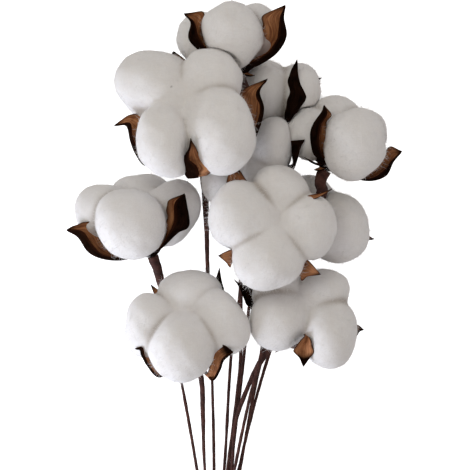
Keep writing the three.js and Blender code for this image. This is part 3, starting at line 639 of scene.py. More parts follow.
BOLLS = (
    Boll(
        name="01",
        base=(3, 156.5, 44),
        locks=(
            Lock((-1, 175, 58), (14.4, 15, 13.5)),
            Lock((10, 175, 41), (12.5, 14.5, 13.5)),
            Lock((-3, 172.5, 29), (13, 14, 14)),
            Lock((-16, 172, 37), (12, 13, 13)),
        ),
        valves=(
            Valve(
                tip=(24.5, 188, 59),
                near=((10.5, 161.5, 56), (17.5, 166.5, 60), (21, 173, 62), (22, 181.5, 62)),
                fold=((13.5, 160.5, 48), (21, 166, 49), (25, 173.5, 51), (23.5, 182, 55)),
                far=((8.5, 164.5, 50), (12.5, 170.5, 54), (13, 176.5, 57), (13.5, 182.5, 58.5)),
            ),
            None,
            None,
            Valve(
                tip=(-24, 184, 57),
                near=((-6, 163.5, 55), (-12.5, 166.5, 59), (-17, 172.5, 61), (-19, 179.5, 61)),
                fold=((-7.5, 162.5, 48), (-15, 165.5, 49), (-21.5, 172, 50), (-20.5, 180, 54)),
                far=((-8.5, 166, 50), (-13, 170.5, 54), (-15.5, 176.5, 56), (-14.5, 184.5, 57)),
            ),
        ),
        bracts=((-4, 154.5, 52), (10, 154.5, 51)),
        stem=(
            (0, 143, 29), (-1, 112, 13), (2, 78, 6.5), (2.9, 51, 5), (-1.4, 18, 5.5), (-4.8, -37, 6.5),
        ),
        slot=(-9.6, 6.6),
        end=(-11.5, -184, 4),
        neck=(3.2, 45),
    ),
    Boll(
        name="02",
        base=(-17.8, 118.3, 43),
        locks=(
            Lock((-39.4, 151.4, 56), (18.2, 15.6, 16.5)),
            Lock((-10.1, 153.8, 62), (14.9, 13, 14)),
            Lock((-5.8, 127.4, 73), (16.6, 20.4, 17), 10),
            Lock((-34.6, 121.7, 74), (12.6, 17.5, 15), 15),
        ),
        valves=(
            Valve(tip=(-29.3, 166.3, 42), wide=0.8),
            Valve(
                tip=(16, 152.5, 60),
                near=((6, 122, 60), (10.5, 130, 60), (12.5, 138.5, 63), (10.5, 145.5, 63)),
                fold=((7.5, 121.5, 56), (12, 131, 54), (13.5, 139, 55), (12, 146.5, 57)),
                far=((-1, 129, 50), (0, 137, 51), (0, 143.5, 53), (5.5, 148, 57)),
            ),
            Valve(
                tip=(-20.5, 123.5, 85),
                near=((-17, 105, 66), (-17.5, 110, 80), (-21.5, 114, 84), (-20.5, 119.5, 86)),
                fold=((-22, 105, 60), (-24.5, 109.5, 72), (-23.5, 114.5, 79), (-21, 119, 83)),
                far=((-14.5, 106, 62), (-10.5, 109.5, 75), (-16, 115, 79), (-18.5, 119.5, 83)),
            ),
            Valve(
                tip=(-57.5, 130, 64),
                near=((-40.5, 112, 64), (-45.5, 118, 68), (-48.5, 124.5, 69), (-49.5, 131, 69)),
                fold=((-42, 111.5, 57), (-47, 117.5, 60), (-49.5, 123.5, 62), (-51.5, 130, 63)),
                far=((-35.5, 127, 55), (-39, 135.5, 58), (-44.5, 136, 60), (-50.5, 135, 62)),
            ),
        ),
        bracts=(),
        stem=(
            (-14.6, 104, 30), (-13.6, 88, 22), (-13, 64.6, 17), (-11.8, 35, 13), (-10.8, 10, 12),
            (-9.8, -37, 10.6),
        ),
        slot=(-10.6, 8.4),
        end=(-13.5, -188, 8.5),
        neck=(3.8, 75),
        specks=((-29.8, 148.6, 66),),
    ),
    Boll(
        name="03",
        base=(23.5, 131.8, 21),
        locks=(
            Lock((13.8, 146, 28), (13.8, 15.5, 12)),
            Lock((32.4, 145.5, 28), (10.2, 14.4, 11.5)),
            Lock((31, 151, 11.2), (10.5, 11.5, 12)),
            Lock((17.5, 152, 11.2), (10.5, 11.5, 12)),
        ),
        valves=(
            Valve(
                tip=(30.5, 162.5, 41),
                near=((24.5, 133.5, 35), (25, 139.5, 38), (26.5, 145.5, 39.5), (26.5, 153.5, 40)),
                fold=((26, 132, 37), (28.5, 138, 42), (30.5, 144.5, 44), (29, 153, 43.5)),
                far=((27, 133.5, 35), (32, 139, 37), (35.5, 144.5, 38), (31.5, 152.5, 39.5)),
            ),
            None,
            None,
            None,
        ),
        bracts=(),
        stem=(
            (21.5, 118, 12), (18, 103, 8), (13.5, 80, 6.5), (8.5, 51, 5.5), (4, 10, 5.5), (-1.6, -37, 7),
        ),
        slot=(-7.6, 6.6),
        end=(-8.2, -180, 3.5),
        neck=(3, 45),
    ),
    Boll(
        name="04",
        base=(45, 111, 39),
        locks=(
            Lock((59.3, 121.7, 54), (14.4, 17, 14.5)),
            Lock((36.5, 127.4, 34), (12, 12, 12.5)),
            Lock((49, 133.5, 28), (12.5, 12, 13)),
            Lock((62, 127, 38), (12, 12, 13)),
        ),
        valves=(
            Valve(
                tip=(43.5, 140, 53),
                near=(
                    (47, 111.5, 47), (42.5, 116.5, 54), (41, 123, 57), (42, 130.5, 57), (45, 136, 56),
                ),
                fold=(
                    (42, 114, 41), (38.5, 117, 44), (37, 125.5, 47), (38.5, 131, 49), (42.5, 137, 52),
                ),
                far=(
                    (48, 113.5, 44), (45.5, 117.5, 50), (44.5, 124, 53), (45, 131, 53), (47, 135, 54),
                ),
            ),
            None,
            None,
            Valve(
                tip=(81, 118, 47),
                near=((59.5, 105.5, 47), (66.5, 105, 50), (72.5, 109, 51), (76, 113.5, 50)),
                fold=((59, 105, 42), (66.5, 104, 42), (73.5, 106.5, 42), (77, 113.5, 43)),
                far=((57, 108, 43), (63.5, 108, 45), (70, 112.5, 46), (74.5, 120, 47)),
            ),
        ),
        bracts=((34, 115, 47), (38.5, 109, 46)),
        stem=(
            (42.7, 98.5, 35.5), (35, 82, 40), (28.5, 63, 29), (21, 42, 12), (12, 10.5, 8.6),
            (3, -37, 8.6),
        ),
        slot=(-4.6, 8.4),
        end=(-1.5, -182, 7.5),
        neck=(5.8, 60),
    ),
    Boll(
        name="05",
        base=(5.8, 110.6, 19),
        locks=(
            Lock((19, 120.5, 37), (10.5, 14, 12)),
            Lock((11.5, 104, 37), (11.5, 11.5, 12)),
            Lock((-5.8, 103.5, 36), (10.5, 11.5, 12)),
            Lock((-1, 122, 34), (11.5, 12, 12)),
        ),
        valves=(
            Valve(
                tip=(34, 123.5, 46),
                near=((25, 108, 38), (29, 113, 43), (31, 120.5, 45)),
                fold=((27.5, 108.5, 40), (30, 113, 45), (32, 120.5, 46)),
                far=((28, 111.5, 34), (28, 116, 38), (27, 122.5, 42)),
                tan_end=0.2,
            ),
            None,
            None,
            None,
        ),
        bracts=(),
        stem=((4.5, 88, 10), (3.5, 60, 11), (3.4, 22, 11), (1.5, 0, 10.5), (-3.2, -37, 9)),
        slot=(-8.6, 8.4),
        end=(-9.5, -178, 7.8),
        neck=(3, 45),
    ),
    Boll(
        name="06",
        base=(-40.3, 69.4, 27),
        locks=(
            Lock((-50.9, 83.8, 47), (16.8, 16.8, 15.5)),
            Lock((-64.3, 88.6, 32), (13, 14, 14)),
            Lock((-45.6, 93.5, 14.6), (16.8, 14.3, 15.5)),
            Lock((-28, 91.5, 31), (12.3, 12.7, 13)),
        ),
        valves=(
            Valve(
                tip=(-81, 80, 43),
                near=((-54.5, 66.5, 36), (-63, 68, 43), (-68, 72.5, 46), (-73.5, 79.5, 46)),
                fold=((-55, 65.5, 30), (-64.5, 66.5, 33), (-71, 70, 35), (-75.5, 76.5, 38)),
                far=((-56.5, 69, 32), (-64.5, 75, 38), (-67.5, 84.5, 43), (-73.5, 84, 44)),
            ),
            Valve(tip=(-73.4, 99, 21)),
            Valve(tip=(-34.5, 98, 21)),
            Valve(
                tip=(-24, 97.5, 47),
                near=((-36.5, 71, 40), (-31.5, 78.5, 48), (-29, 84.5, 51), (-28.5, 93, 51)),
                fold=((-34.5, 72, 34), (-27, 79, 40), (-22, 82, 43), (-23, 92.5, 44)),
                far=((-38, 73.5, 36), (-34.5, 78.5, 42), (-32.5, 85.5, 46), (-32.5, 93, 48)),
            ),
        ),
        bracts=(),
        stem=((-35.5, 53.5, 20), (-30.5, 29, 15), (-25.4, 4, 11), (-18.2, -37, 9.4)),
        slot=(-11.6, 6.6),
        end=(-16, -186, 4.5),
        neck=(5, 45),
    ),
    Boll(
        name="07",
        base=(20.6, 81.8, 45),
        locks=(
            Lock((2.9, 86.6, 62), (16.3, 17.2, 16)),
            Lock((22.6, 99.8, 58), (14, 10.6, 13), -25),
            Lock((36.5, 81.4, 62), (12.6, 15.6, 15)),
            Lock((15.8, 65, 66), (17.3, 14.4, 15.5)),
        ),
        valves=(
            Valve(
                tip=(2, 109, 63),
                near=((3, 98, 56), (-4, 101, 62), (-1.5, 107, 64)),
                fold=((6, 98, 53), (2, 101, 57), (2, 107, 61)),
                far=((8.5, 98, 55), (8, 101, 61), (4, 107, 63)),
            ),
            Valve(
                tip=(47, 99.5, 67),
                near=((34, 93, 65), (36.5, 94, 69), (41.5, 96, 69)),
                fold=((33.5, 94.5, 63), (35.5, 95.5, 67), (41.5, 97, 67)),
                far=((33, 95, 64), (36, 96.5, 68), (41.5, 97.5, 68)),
            ),
            Valve(
                tip=(41.5, 58.5, 65),
                near=((33.5, 66.5, 60), (36, 65, 66), (39.5, 61, 67)),
                fold=((33, 64, 56), (35, 61.5, 60), (38, 60, 63)),
                far=((31, 59.5, 57), (32.5, 55.5, 60), (35.5, 57.5, 62)),
            ),
            Valve(
                tip=(-7.5, 67.5, 66),
                near=((1.5, 70.5, 60), (-1.5, 70.5, 68), (-5, 69, 69)),
                fold=((1, 68, 56), (-2, 67, 62), (-5, 67, 65)),
                far=((-0.5, 64.5, 57), (-2, 61.5, 60), (-3.5, 64, 63)),
            ),
        ),
        bracts=(),
        stem=((19.5, 74, 33), (16.5, 55, 23), (13.4, 21, 19), (7.7, -2, 17), (0.3, -37, 13.4)),
        slot=(-7.6, 10.2),
        end=(-6, -186, 11.5),
        neck=(3.2, 45),
    ),
    Boll(
        name="08",
        base=(36, 70.3, 18),
        locks=(
            Lock((52.3, 81.4, 32), (14, 17.3, 14)),
            Lock((46, 86, 12.2), (12, 12.5, 13)),
            Lock((35, 95.5, 15), (12, 12.2, 13)),
            Lock((29.5, 82, 28), (10.5, 12, 11.5)),
        ),
        valves=(
            Valve(tip=(68.4, 75.6, 22)),
            None,
            None,
            Valve(tip=(44, 89, 40)),
        ),
        bracts=(),
        stem=((31, 57, 10), (24, 38, 6.5), (15, 12, 5.2), (2.4, -37, 6.6)),
        slot=(-5.6, 6.6),
        end=(-4.6, -186, 4),
        neck=(3, 45),
    ),
    Boll(
        name="09",
        base=(30, 29, 24),
        locks=(
            Lock((21.1, 36.7, 42), (14.2, 15, 14)),
            Lock((20.5, 50.5, 36), (13, 13, 12)),
            Lock((44.2, 50.6, 37), (12.5, 10.9, 12)),
            Lock((47, 30, 41), (12.6, 17, 14), -10),
        ),
        valves=(
            Valve(
                tip=(0, 56, 42),
                near=((9.5, 46, 36), (10, 51.5, 40), (3, 54, 42.5)),
                fold=((8, 44.5, 34), (7, 47, 38), (2.5, 53.5, 41)),
                far=((6.5, 43, 34), (5, 46.5, 36), (2, 53, 41)),
                tan_end=0.3,
            ),
            Valve(tip=(30.3, 60.3, 29.5)),
            Valve(
                tip=(63, 31.5, 30),
                near=((50.5, 20.5, 26), (56.5, 25, 29), (60.5, 31.5, 31)),
                fold=((49.5, 20, 22), (56.5, 24, 25), (61, 31, 29)),
                far=((48.5, 24, 24), (54.5, 30.5, 27), (60, 34, 30)),
            ),
            Valve(
                tip=(33.5, 14, 46),
                near=((34, 29, 52), (30.5, 24.5, 52), (28.5, 21.5, 50), (31.5, 18.5, 46.5)),
                fold=((35, 28, 47), (34, 23, 46), (33.5, 20.5, 45), (33.5, 17, 44)),
                far=((36.5, 28, 51), (38, 24.5, 51), (38.5, 21.5, 49), (36.5, 18, 46.5)),
                tan_end=0.78,
            ),
        ),
        bracts=((20, 20.5, 36),),
        stem=((24, 27, 15.5), (14.5, 18, 14), (4.3, -3, 13), (0.5, -16, 12), (-1, -37, 11)),
        slot=(-6.6, 8.4),
        end=(-5, -190, 7.6),
        neck=(3.4, 70),
    ),
    Boll(
        name="10",
        base=(-20.6, 22.3, 31),
        locks=(
            Lock((-25.4, 22.8, 56), (15.4, 16.3, 14.5)),
            Lock((-41, 33.4, 45), (12.3, 15.8, 13)),
            Lock((-21.1, 49.7, 40), (15.8, 11.7, 12.5)),
            Lock((-5, 36, 49), (11.5, 15.2, 13), 35),
        ),
        valves=(
            Valve(
                tip=(-47.5, 23, 54),
                near=((-35.5, 9.5, 46), (-41, 15, 51), (-43, 20, 54.5), (-44, 23.5, 56)),
                fold=((-36, 9, 42), (-41.5, 14.5, 47), (-44, 19, 50), (-45.5, 22, 51.5)),
                far=((-33, 12, 44), (-37.5, 17, 49), (-38.5, 21.5, 53), (-39.5, 25, 54.5)),
                tan_end=0.84,
            ),
            Valve(tip=(-40.3, 53.5, 38), wide=0.35),
            Valve(
                tip=(-7, 61.5, 41),
                near=((-9.5, 46, 34), (-10, 51.5, 38), (-8, 58.5, 40.5)),
                fold=((-8, 44.5, 36), (-7.5, 50.5, 40), (-7.5, 58, 42)),
                far=((-5, 46, 34), (-5, 51, 38), (-6.5, 58, 40.5)),
            ),
            Valve(
                tip=(-0.5, 21.5, 57),
                near=((-11, 8, 46), (-7.5, 13, 51), (-6, 17.5, 54), (-3.5, 20, 57)),
                fold=((-10.5, 7.5, 42), (-7, 12.5, 47), (-5.5, 17, 50), (-3, 19.5, 53)),
                far=((-13.5, 10.5, 44), (-11, 16.5, 49), (-10, 23, 53), (-6, 25, 57)),
                tan_end=0.8,
            ),
        ),
        bracts=(),
        stem=((-16.1, 8, 21), (-15.2, -10, 15.5), (-14.3, -37, 12.8)),
        slot=(-9.6, 10.2),
        end=(-11, -189, 12),
        neck=(3.2, 55),
    ),
)

# Bolls in the order in which their lint presses on that of the later ones.
PRESS_ORDER = ("02", "07", "10", "04", "09", "05", "08", "01", "06", "03")


@dataclass
class Balls:
    """Balls that stand for solid things, where lint gives way to them."""

    centres: Array
    radii: Array

    @staticmethod
    def joined(groups: list["Balls"]) -> "Balls":
        """Puts several groups into one."""
        return Balls(np.concatenate([g.centres for g in groups]), np.concatenate([g.radii for g in groups]))

    def seen_from(self, origin: Array) -> "Balls":
        """The same balls in a frame that starts at the given point."""
        return Balls(self.centres - origin, self.radii)

    def close_to(self, points: Array, margin: float) -> "Balls":
        """The balls whose centres lie within a margin of the points' box."""
        low, high = points.min(axis=0) - margin, points.max(axis=0) + margin
        kept = ((self.centres > low) & (self.centres < high)).all(axis=1)
        return Balls(self.centres[kept], self.radii[kept])

    def distance(self, points: Array) -> Array:
        """Distance from each point to the nearest centre: a.a - 2a.b + b.b, and its root."""
        a, b = points.astype(np.float32), self.centres.astype(np.float32)
        square = (a * a).sum(axis=1)[:, None] - 2 * a @ b.T + (b * b).sum(axis=1)[None]
        return np.sqrt(np.maximum(square.min(axis=1), 0.0))


@dataclass
class Blade:
    """A dried blade of a boll: a valve, or a narrow piece of bract.

    Two rims and the fold between them run from the cup to the tip. A section goes from rim to rim
    round the fold, half as a parabola and half as a straight V, and its thickness runs out at the
    rims.
    """

    boll: Boll
    valve: Valve
    kind: BladeKind
    seed: int
    rows: int = 52
    cols: int = 15
    thickness: float = 0.9
    beak: float = 5.2
    half_width: float = 8.2
    curl: float = 0.45
    usual_width: float = 57.0
    root_reach: float = 3.4
    root_half: float = 2.4
    root_rise: float = 1.0
    point: float = 0.12
    roundness: float = 0.55
    sag: float = 1.2
    rib: float = 0.25
    rib_width: float = 0.09
    rim_wave: float = 7.0
    rim_relief: float = 0.07
    tan_fade: float = 0.09

    def even_lines(self) -> list[Array]:
        """Rims and fold of a blade whose fold lies in the plane of the boll's axis and the tip.

        A valve leaves the cup sideways, rises round the lint, and ends in a beak turned outwards.
        A bract piece runs straight to its end with a slight sag. Each rim stands off the fold by
        the half width sideways and by the curl times the half width towards the lint.

        Returns:
            Near rim, fold and far rim, of shape (rows, 3) each.
        """
        axis = self.boll.axis
        chord = np.array(self.valve.tip) - self.boll.foot
        rise = float(chord @ axis)
        out = unit(chord - rise * axis)
        reach = float(chord @ out)
        if self.kind is BladeKind.BRACT:
            share = np.linspace(0.0, 1.0, 6)
            marks = np.column_stack([share * reach, share * rise - self.sag * np.sin(np.pi * share)])
            line = smooth_path(marks, self.rows)
            half = np.interp(np.linspace(0, 1, self.rows), [0, 0.35, 0.7, 1], [1.4, 1.7, 1.3, 0.1])
        else:
            blade = reach - self.beak
            scale = self.half_width * self.valve.wide * self.boll.width / self.usual_width
            marks = np.array([[0.08, 0.0], [0.58, 0.06], [0.97, 0.38], [1.02, 0.82]]) * [blade, rise]
            marks = np.vstack([marks, [reach, rise]])
            widths = np.array([0.35, 0.78, 1.0, 0.7, 0.04])[:, None] * scale
            path = smooth_path(np.hstack([marks, widths]), self.rows)
            line, half = path[:, :2], np.maximum(path[:, 2], self.point)
        run = unit(np.gradient(line, axis=0))
        inward = -run[:, 1:] * out + run[:, :1] * axis
        fold = self.boll.foot + line[:, :1] * out + line[:, 1:] * axis
        side = half[:, None] * np.cross(axis, out)
        lift = self.curl * half[:, None] * inward
        return [fold - side + lift, fold, fold + side + lift]

    def drawn_lines(self) -> list[Array]:
        """Rims and fold of a valve that has its own points.

        They start side by side on the cup, pass through the points and run together at the tip.

        Returns:
            Near rim, fold and far rim, of shape (rows, 3) each.
        """
        near, fold, far = (
            np.array(line, float) for line in (self.valve.near, self.valve.fold, self.valve.far)
        )
        axis = self.boll.axis
        out = fold[0] - self.boll.foot
        out = unit(out - (out @ axis) * axis)
        root = self.boll.foot + self.root_reach * out
        across = np.cross(axis, out)
        across = across * np.sign(across @ (far[0] - near[0]))
        tip = np.array(self.valve.tip)
        whole = []
        for line, side in ((near, -1.0), (fold, 0.0), (far, 1.0)):
            start = root + side * self.root_half * across + abs(side) * self.root_rise * axis
            end = tip + self.point * unit(line[-1] - (near[-1] + far[-1]) / 2)
            whole.append(np.vstack([start, line, end]))
        path = smooth_path(np.hstack(whole), self.rows)
        return [path[:, :3], path[:, 3:6], path[:, 6:]]

    def middle(self) -> tuple[Array, Array, Array]:
        """Middle surface of the blade.

        With t from 0 at the near rim to 1 at the far one, the parabola is (1-t) squared times the
        near rim, plus 2t(1-t) times a point past the fold, plus t squared times the far rim. A soft
        ripple moves the rims.

        Returns:
            Points and unit normals towards the lint, of shape (rows, cols, 3), and half the
            length of each section.
        """
        lines = self.drawn_lines() if self.valve.fold else self.even_lines()
        near, fold, far = (line[:, None] for line in lines)
        v = np.linspace(-1.0, 1.0, self.cols)[None, :, None]
        t = (v + 1) / 2
        past = 2 * fold - (near + far) / 2
        parabola = (1 - t) ** 2 * near + 2 * t * (1 - t) * past + t**2 * far
        straight = fold + np.maximum(-v, 0) * (near - fold) + np.maximum(v, 0) * (far - fold)
        points = self.roundness * parabola + (1 - self.roundness) * straight
        half = (np.linalg.norm(near - fold, axis=-1) + np.linalg.norm(far - fold, axis=-1))[:, 0] / 2
        inward = unit((near + far) / 2 - fold)
        sideways = np.sign(v) * unit(far - near)
        rim = ripple(points, self.rim_wave, self.seed)[..., None] * np.abs(v) ** 2 * half[:, None, None]
        points = points + self.rim_relief * rim * (0.7 * inward + 0.7 * sideways)
        normal = unit(np.cross(np.gradient(points, axis=1), np.gradient(points, axis=0)))
        flip = np.sign((normal * inward).sum(axis=-1, keepdims=True)[self.rows // 3 :].mean())
        return points, normal * flip, half

    def surface(self) -> Surface:
        """The closed blade: each row is a loop over the inner face and back over the outer one.

        The thickness falls with the cube of the way from the fold to a rim, and a bell-shaped rib
        runs along the fold on the inner face.
        """
        points, normal, half = self.middle()
        v = np.linspace(-1.0, 1.0, self.cols)
        thick = self.thickness * np.minimum(1.0, 0.25 + half / 2.5)[:, None, None]
        profile = (0.25 + 0.75 * (1 - np.abs(v) ** 3))[None, :, None]
        rib = (np.exp(-((v / self.rib_width) ** 2)) * self.rib)[None, :, None]
        rib = rib * np.minimum(1.0, half / 4)[:, None, None]
        inner = points + normal * (0.5 * thick * profile + rib)
        outer = points - normal * (0.5 * thick * profile)
        rings = np.concatenate([inner, outer[:, ::-1]], axis=1)
        u = np.linspace(0.0, 1.0, self.rows)[:, None]
        across = np.concatenate([v, v[::-1]])[None]
        both = np.ones((self.rows, 2 * self.cols))
        side = np.concatenate([np.ones(self.cols), np.zeros(self.cols)])[None]
        marks = {
            "inner": side * np.clip((self.valve.tan_end + self.tan_fade - u) / self.tan_fade, 0.0, 1.0),
            "along": u * both,
            "across": across * both,
            "edge": np.abs(across) * both,
        }
        return closed_skin(rings, rings[0].mean(axis=0), rings[-1].mean(axis=0), marks)


@dataclass
class Bur:
    """The bur of a boll: four valves, the cup that holds them and pieces of dried bract."""

    boll: Boll
    ribs: int = 12
    rib_height: float = 0.04
    even_reach: float = 0.42
    even_rise: float = 0.5
    ball_radius: float = 0.9

    def blades(self) -> list[Blade]:
        """The valves and bract pieces, an even valve standing where none is given."""
        boll = self.boll
        found = []
        for i, valve in enumerate(boll.valves):
            if valve is None:
                pair = np.array([boll.locks[i].at, boll.locks[(i + 1) % len(boll.locks)].at])
                out = pair.mean(axis=0) - boll.foot
                out = unit(out - (out @ boll.axis) * boll.axis)
                tip = boll.foot + boll.width * (self.even_reach * out + self.even_rise * boll.axis)
                valve = Valve(tuple(tip))
            found.append(Blade(boll, valve, BladeKind.VALVE, boll.seed + i))
        for i, end in enumerate(boll.bracts):
            found.append(Blade(boll, Valve(end), BladeKind.BRACT, boll.seed + 10 + i, thickness=0.8))
        return found

    def cup(self) -> Surface:
        """The cup: a profile turned about the boll's axis, with soft ribs.

        The radius is the profile's times one plus a cosine with a period for each rib.

        Returns:
            The closed cup.
        """
        profile = smooth_path(np.array(CUP_PROFILE), 18)
        theta = np.linspace(0.0, 2 * np.pi, 48, endpoint=False)[None, :, None]
        u, v = cross_axes(self.boll.axis, np.array([1.0, 0.0, 0.0]))
        radius = profile[:, :1, None] * (1 + self.rib_height * np.cos(self.ribs * theta))
        rings = self.boll.foot + radius * (np.cos(theta) * u + np.sin(theta) * v)
        rings = rings + profile[:, 1:, None] * self.boll.axis
        none = np.zeros(rings.shape[:2])
        marks = {"inner": none, "along": none + 0.1, "across": none, "edge": none}
        ends = [self.boll.foot + height * self.boll.axis for height in profile[[0, -1], 1]]
        return closed_skin(rings, ends[0], ends[1], marks)

    def build(self, finish: bpy.types.Material) -> None:
        """Makes the bur as one piece."""
        name = f"bur_{self.boll.name}"
        surface = Surface.joined([self.cup()] + [blade.surface() for blade in self.blades()])
        place(surface.mesh(f"{name}_dried"), finish, name)

    def balls(self) -> Balls:
        """Balls spread over the blades, which the lint keeps clear of."""
        points = np.concatenate([blade.middle()[0][::2, ::2].reshape(-1, 3) for blade in self.blades()])
        return Balls(points, np.full(len(points), self.ball_radius + LINT_GAP))


@dataclass
class Stem:
    """A wrapped stem, from its bur to its cut end."""

    boll: Boll
    wire: float = 1.5
    sides: int = 12
    rows: int = 420
    pitch: float = 5.5
    tie_y: float = -93.0
    tie_length: float = 24.0
    cup_gap: float = 2.5
    neck_straight: float = 6.0
    lap_height: float = 0.10
    relief: float = 0.07
    relief_wave: float = 11.0

    def route(self) -> Array:
        """Evenly spaced points of the middle line, first at the bur."""
        boll = self.boll
        start = boll.foot - self.cup_gap * boll.axis
        x, z = boll.slot
        ties = [(x, self.tie_y + share * self.tie_length, z) for share in (0.5, -0.5)]
        neck_end = start - self.neck_straight * boll.axis
        points = np.array([start, neck_end, *boll.stem, *ties, boll.end], float)
        return smooth_path(points, self.rows)

    def radii(self, route: Array) -> Array:
        """Radius at each row: it thins in a straight line from the neck to the wire."""
        arc = np.concatenate([[0.0], np.cumsum(np.linalg.norm(np.diff(route, axis=0), axis=1))])
        thinning = np.minimum(1.0, arc / self.boll.neck[1])
        return (self.boll.neck[0] * (1 - thinning) + self.wire * thinning) / 2

    def balls(self) -> Balls:
        """Balls along the stem, which the lint keeps clear of."""
        route = self.route()[::2]
        return Balls(route, self.radii(route) + LINT_GAP)

    def build(self, finish: bpy.types.Material) -> None:
        """Makes the stem: a round section carried along the route.

        The radius is lifted by a saw tooth that winds round the stem, the tape's overlapping edge,
        and by a slow ripple.
        """
        route = self.route()
        radius = self.radii(route)[:, None]
        tangent = unit(np.gradient(route, axis=0))
        u, v = cross_axes(tangent, np.array([1.0, 0.0, 0.0]))
        theta = np.linspace(0.0, 2 * np.pi, self.sides, endpoint=False)[None]
        length = np.linalg.norm(np.diff(route, axis=0), axis=1).sum()
        arc = np.linspace(0.0, length, self.rows)[:, None]
        tooth = np.mod(arc / self.pitch + theta / (2 * np.pi), 1.0)
        lap = np.exp(-((tooth / 0.16) ** 2)) + np.exp(-(((1 - tooth) / 0.05) ** 2))
        lift = 1 + self.lap_height * (1 - tooth) * smoothstep(0.0, 0.12, tooth)
        spots = route[:, None] + radius[..., None] * (
            np.cos(theta)[..., None] * u[:, None] + np.sin(theta)[..., None] * v[:, None]
        )
        lift = lift * (1 + self.relief * ripple(spots, self.relief_wave, self.boll.seed + 50))
        rings = route[:, None] + (spots - route[:, None]) * lift[..., None]
        name = f"stem_{self.boll.name}"
        surface = closed_skin(rings, route[0], route[-1], {"lap": np.clip(lap, 0, 1)})
        place(surface.mesh(f"{name}_wrapped"), finish, name)


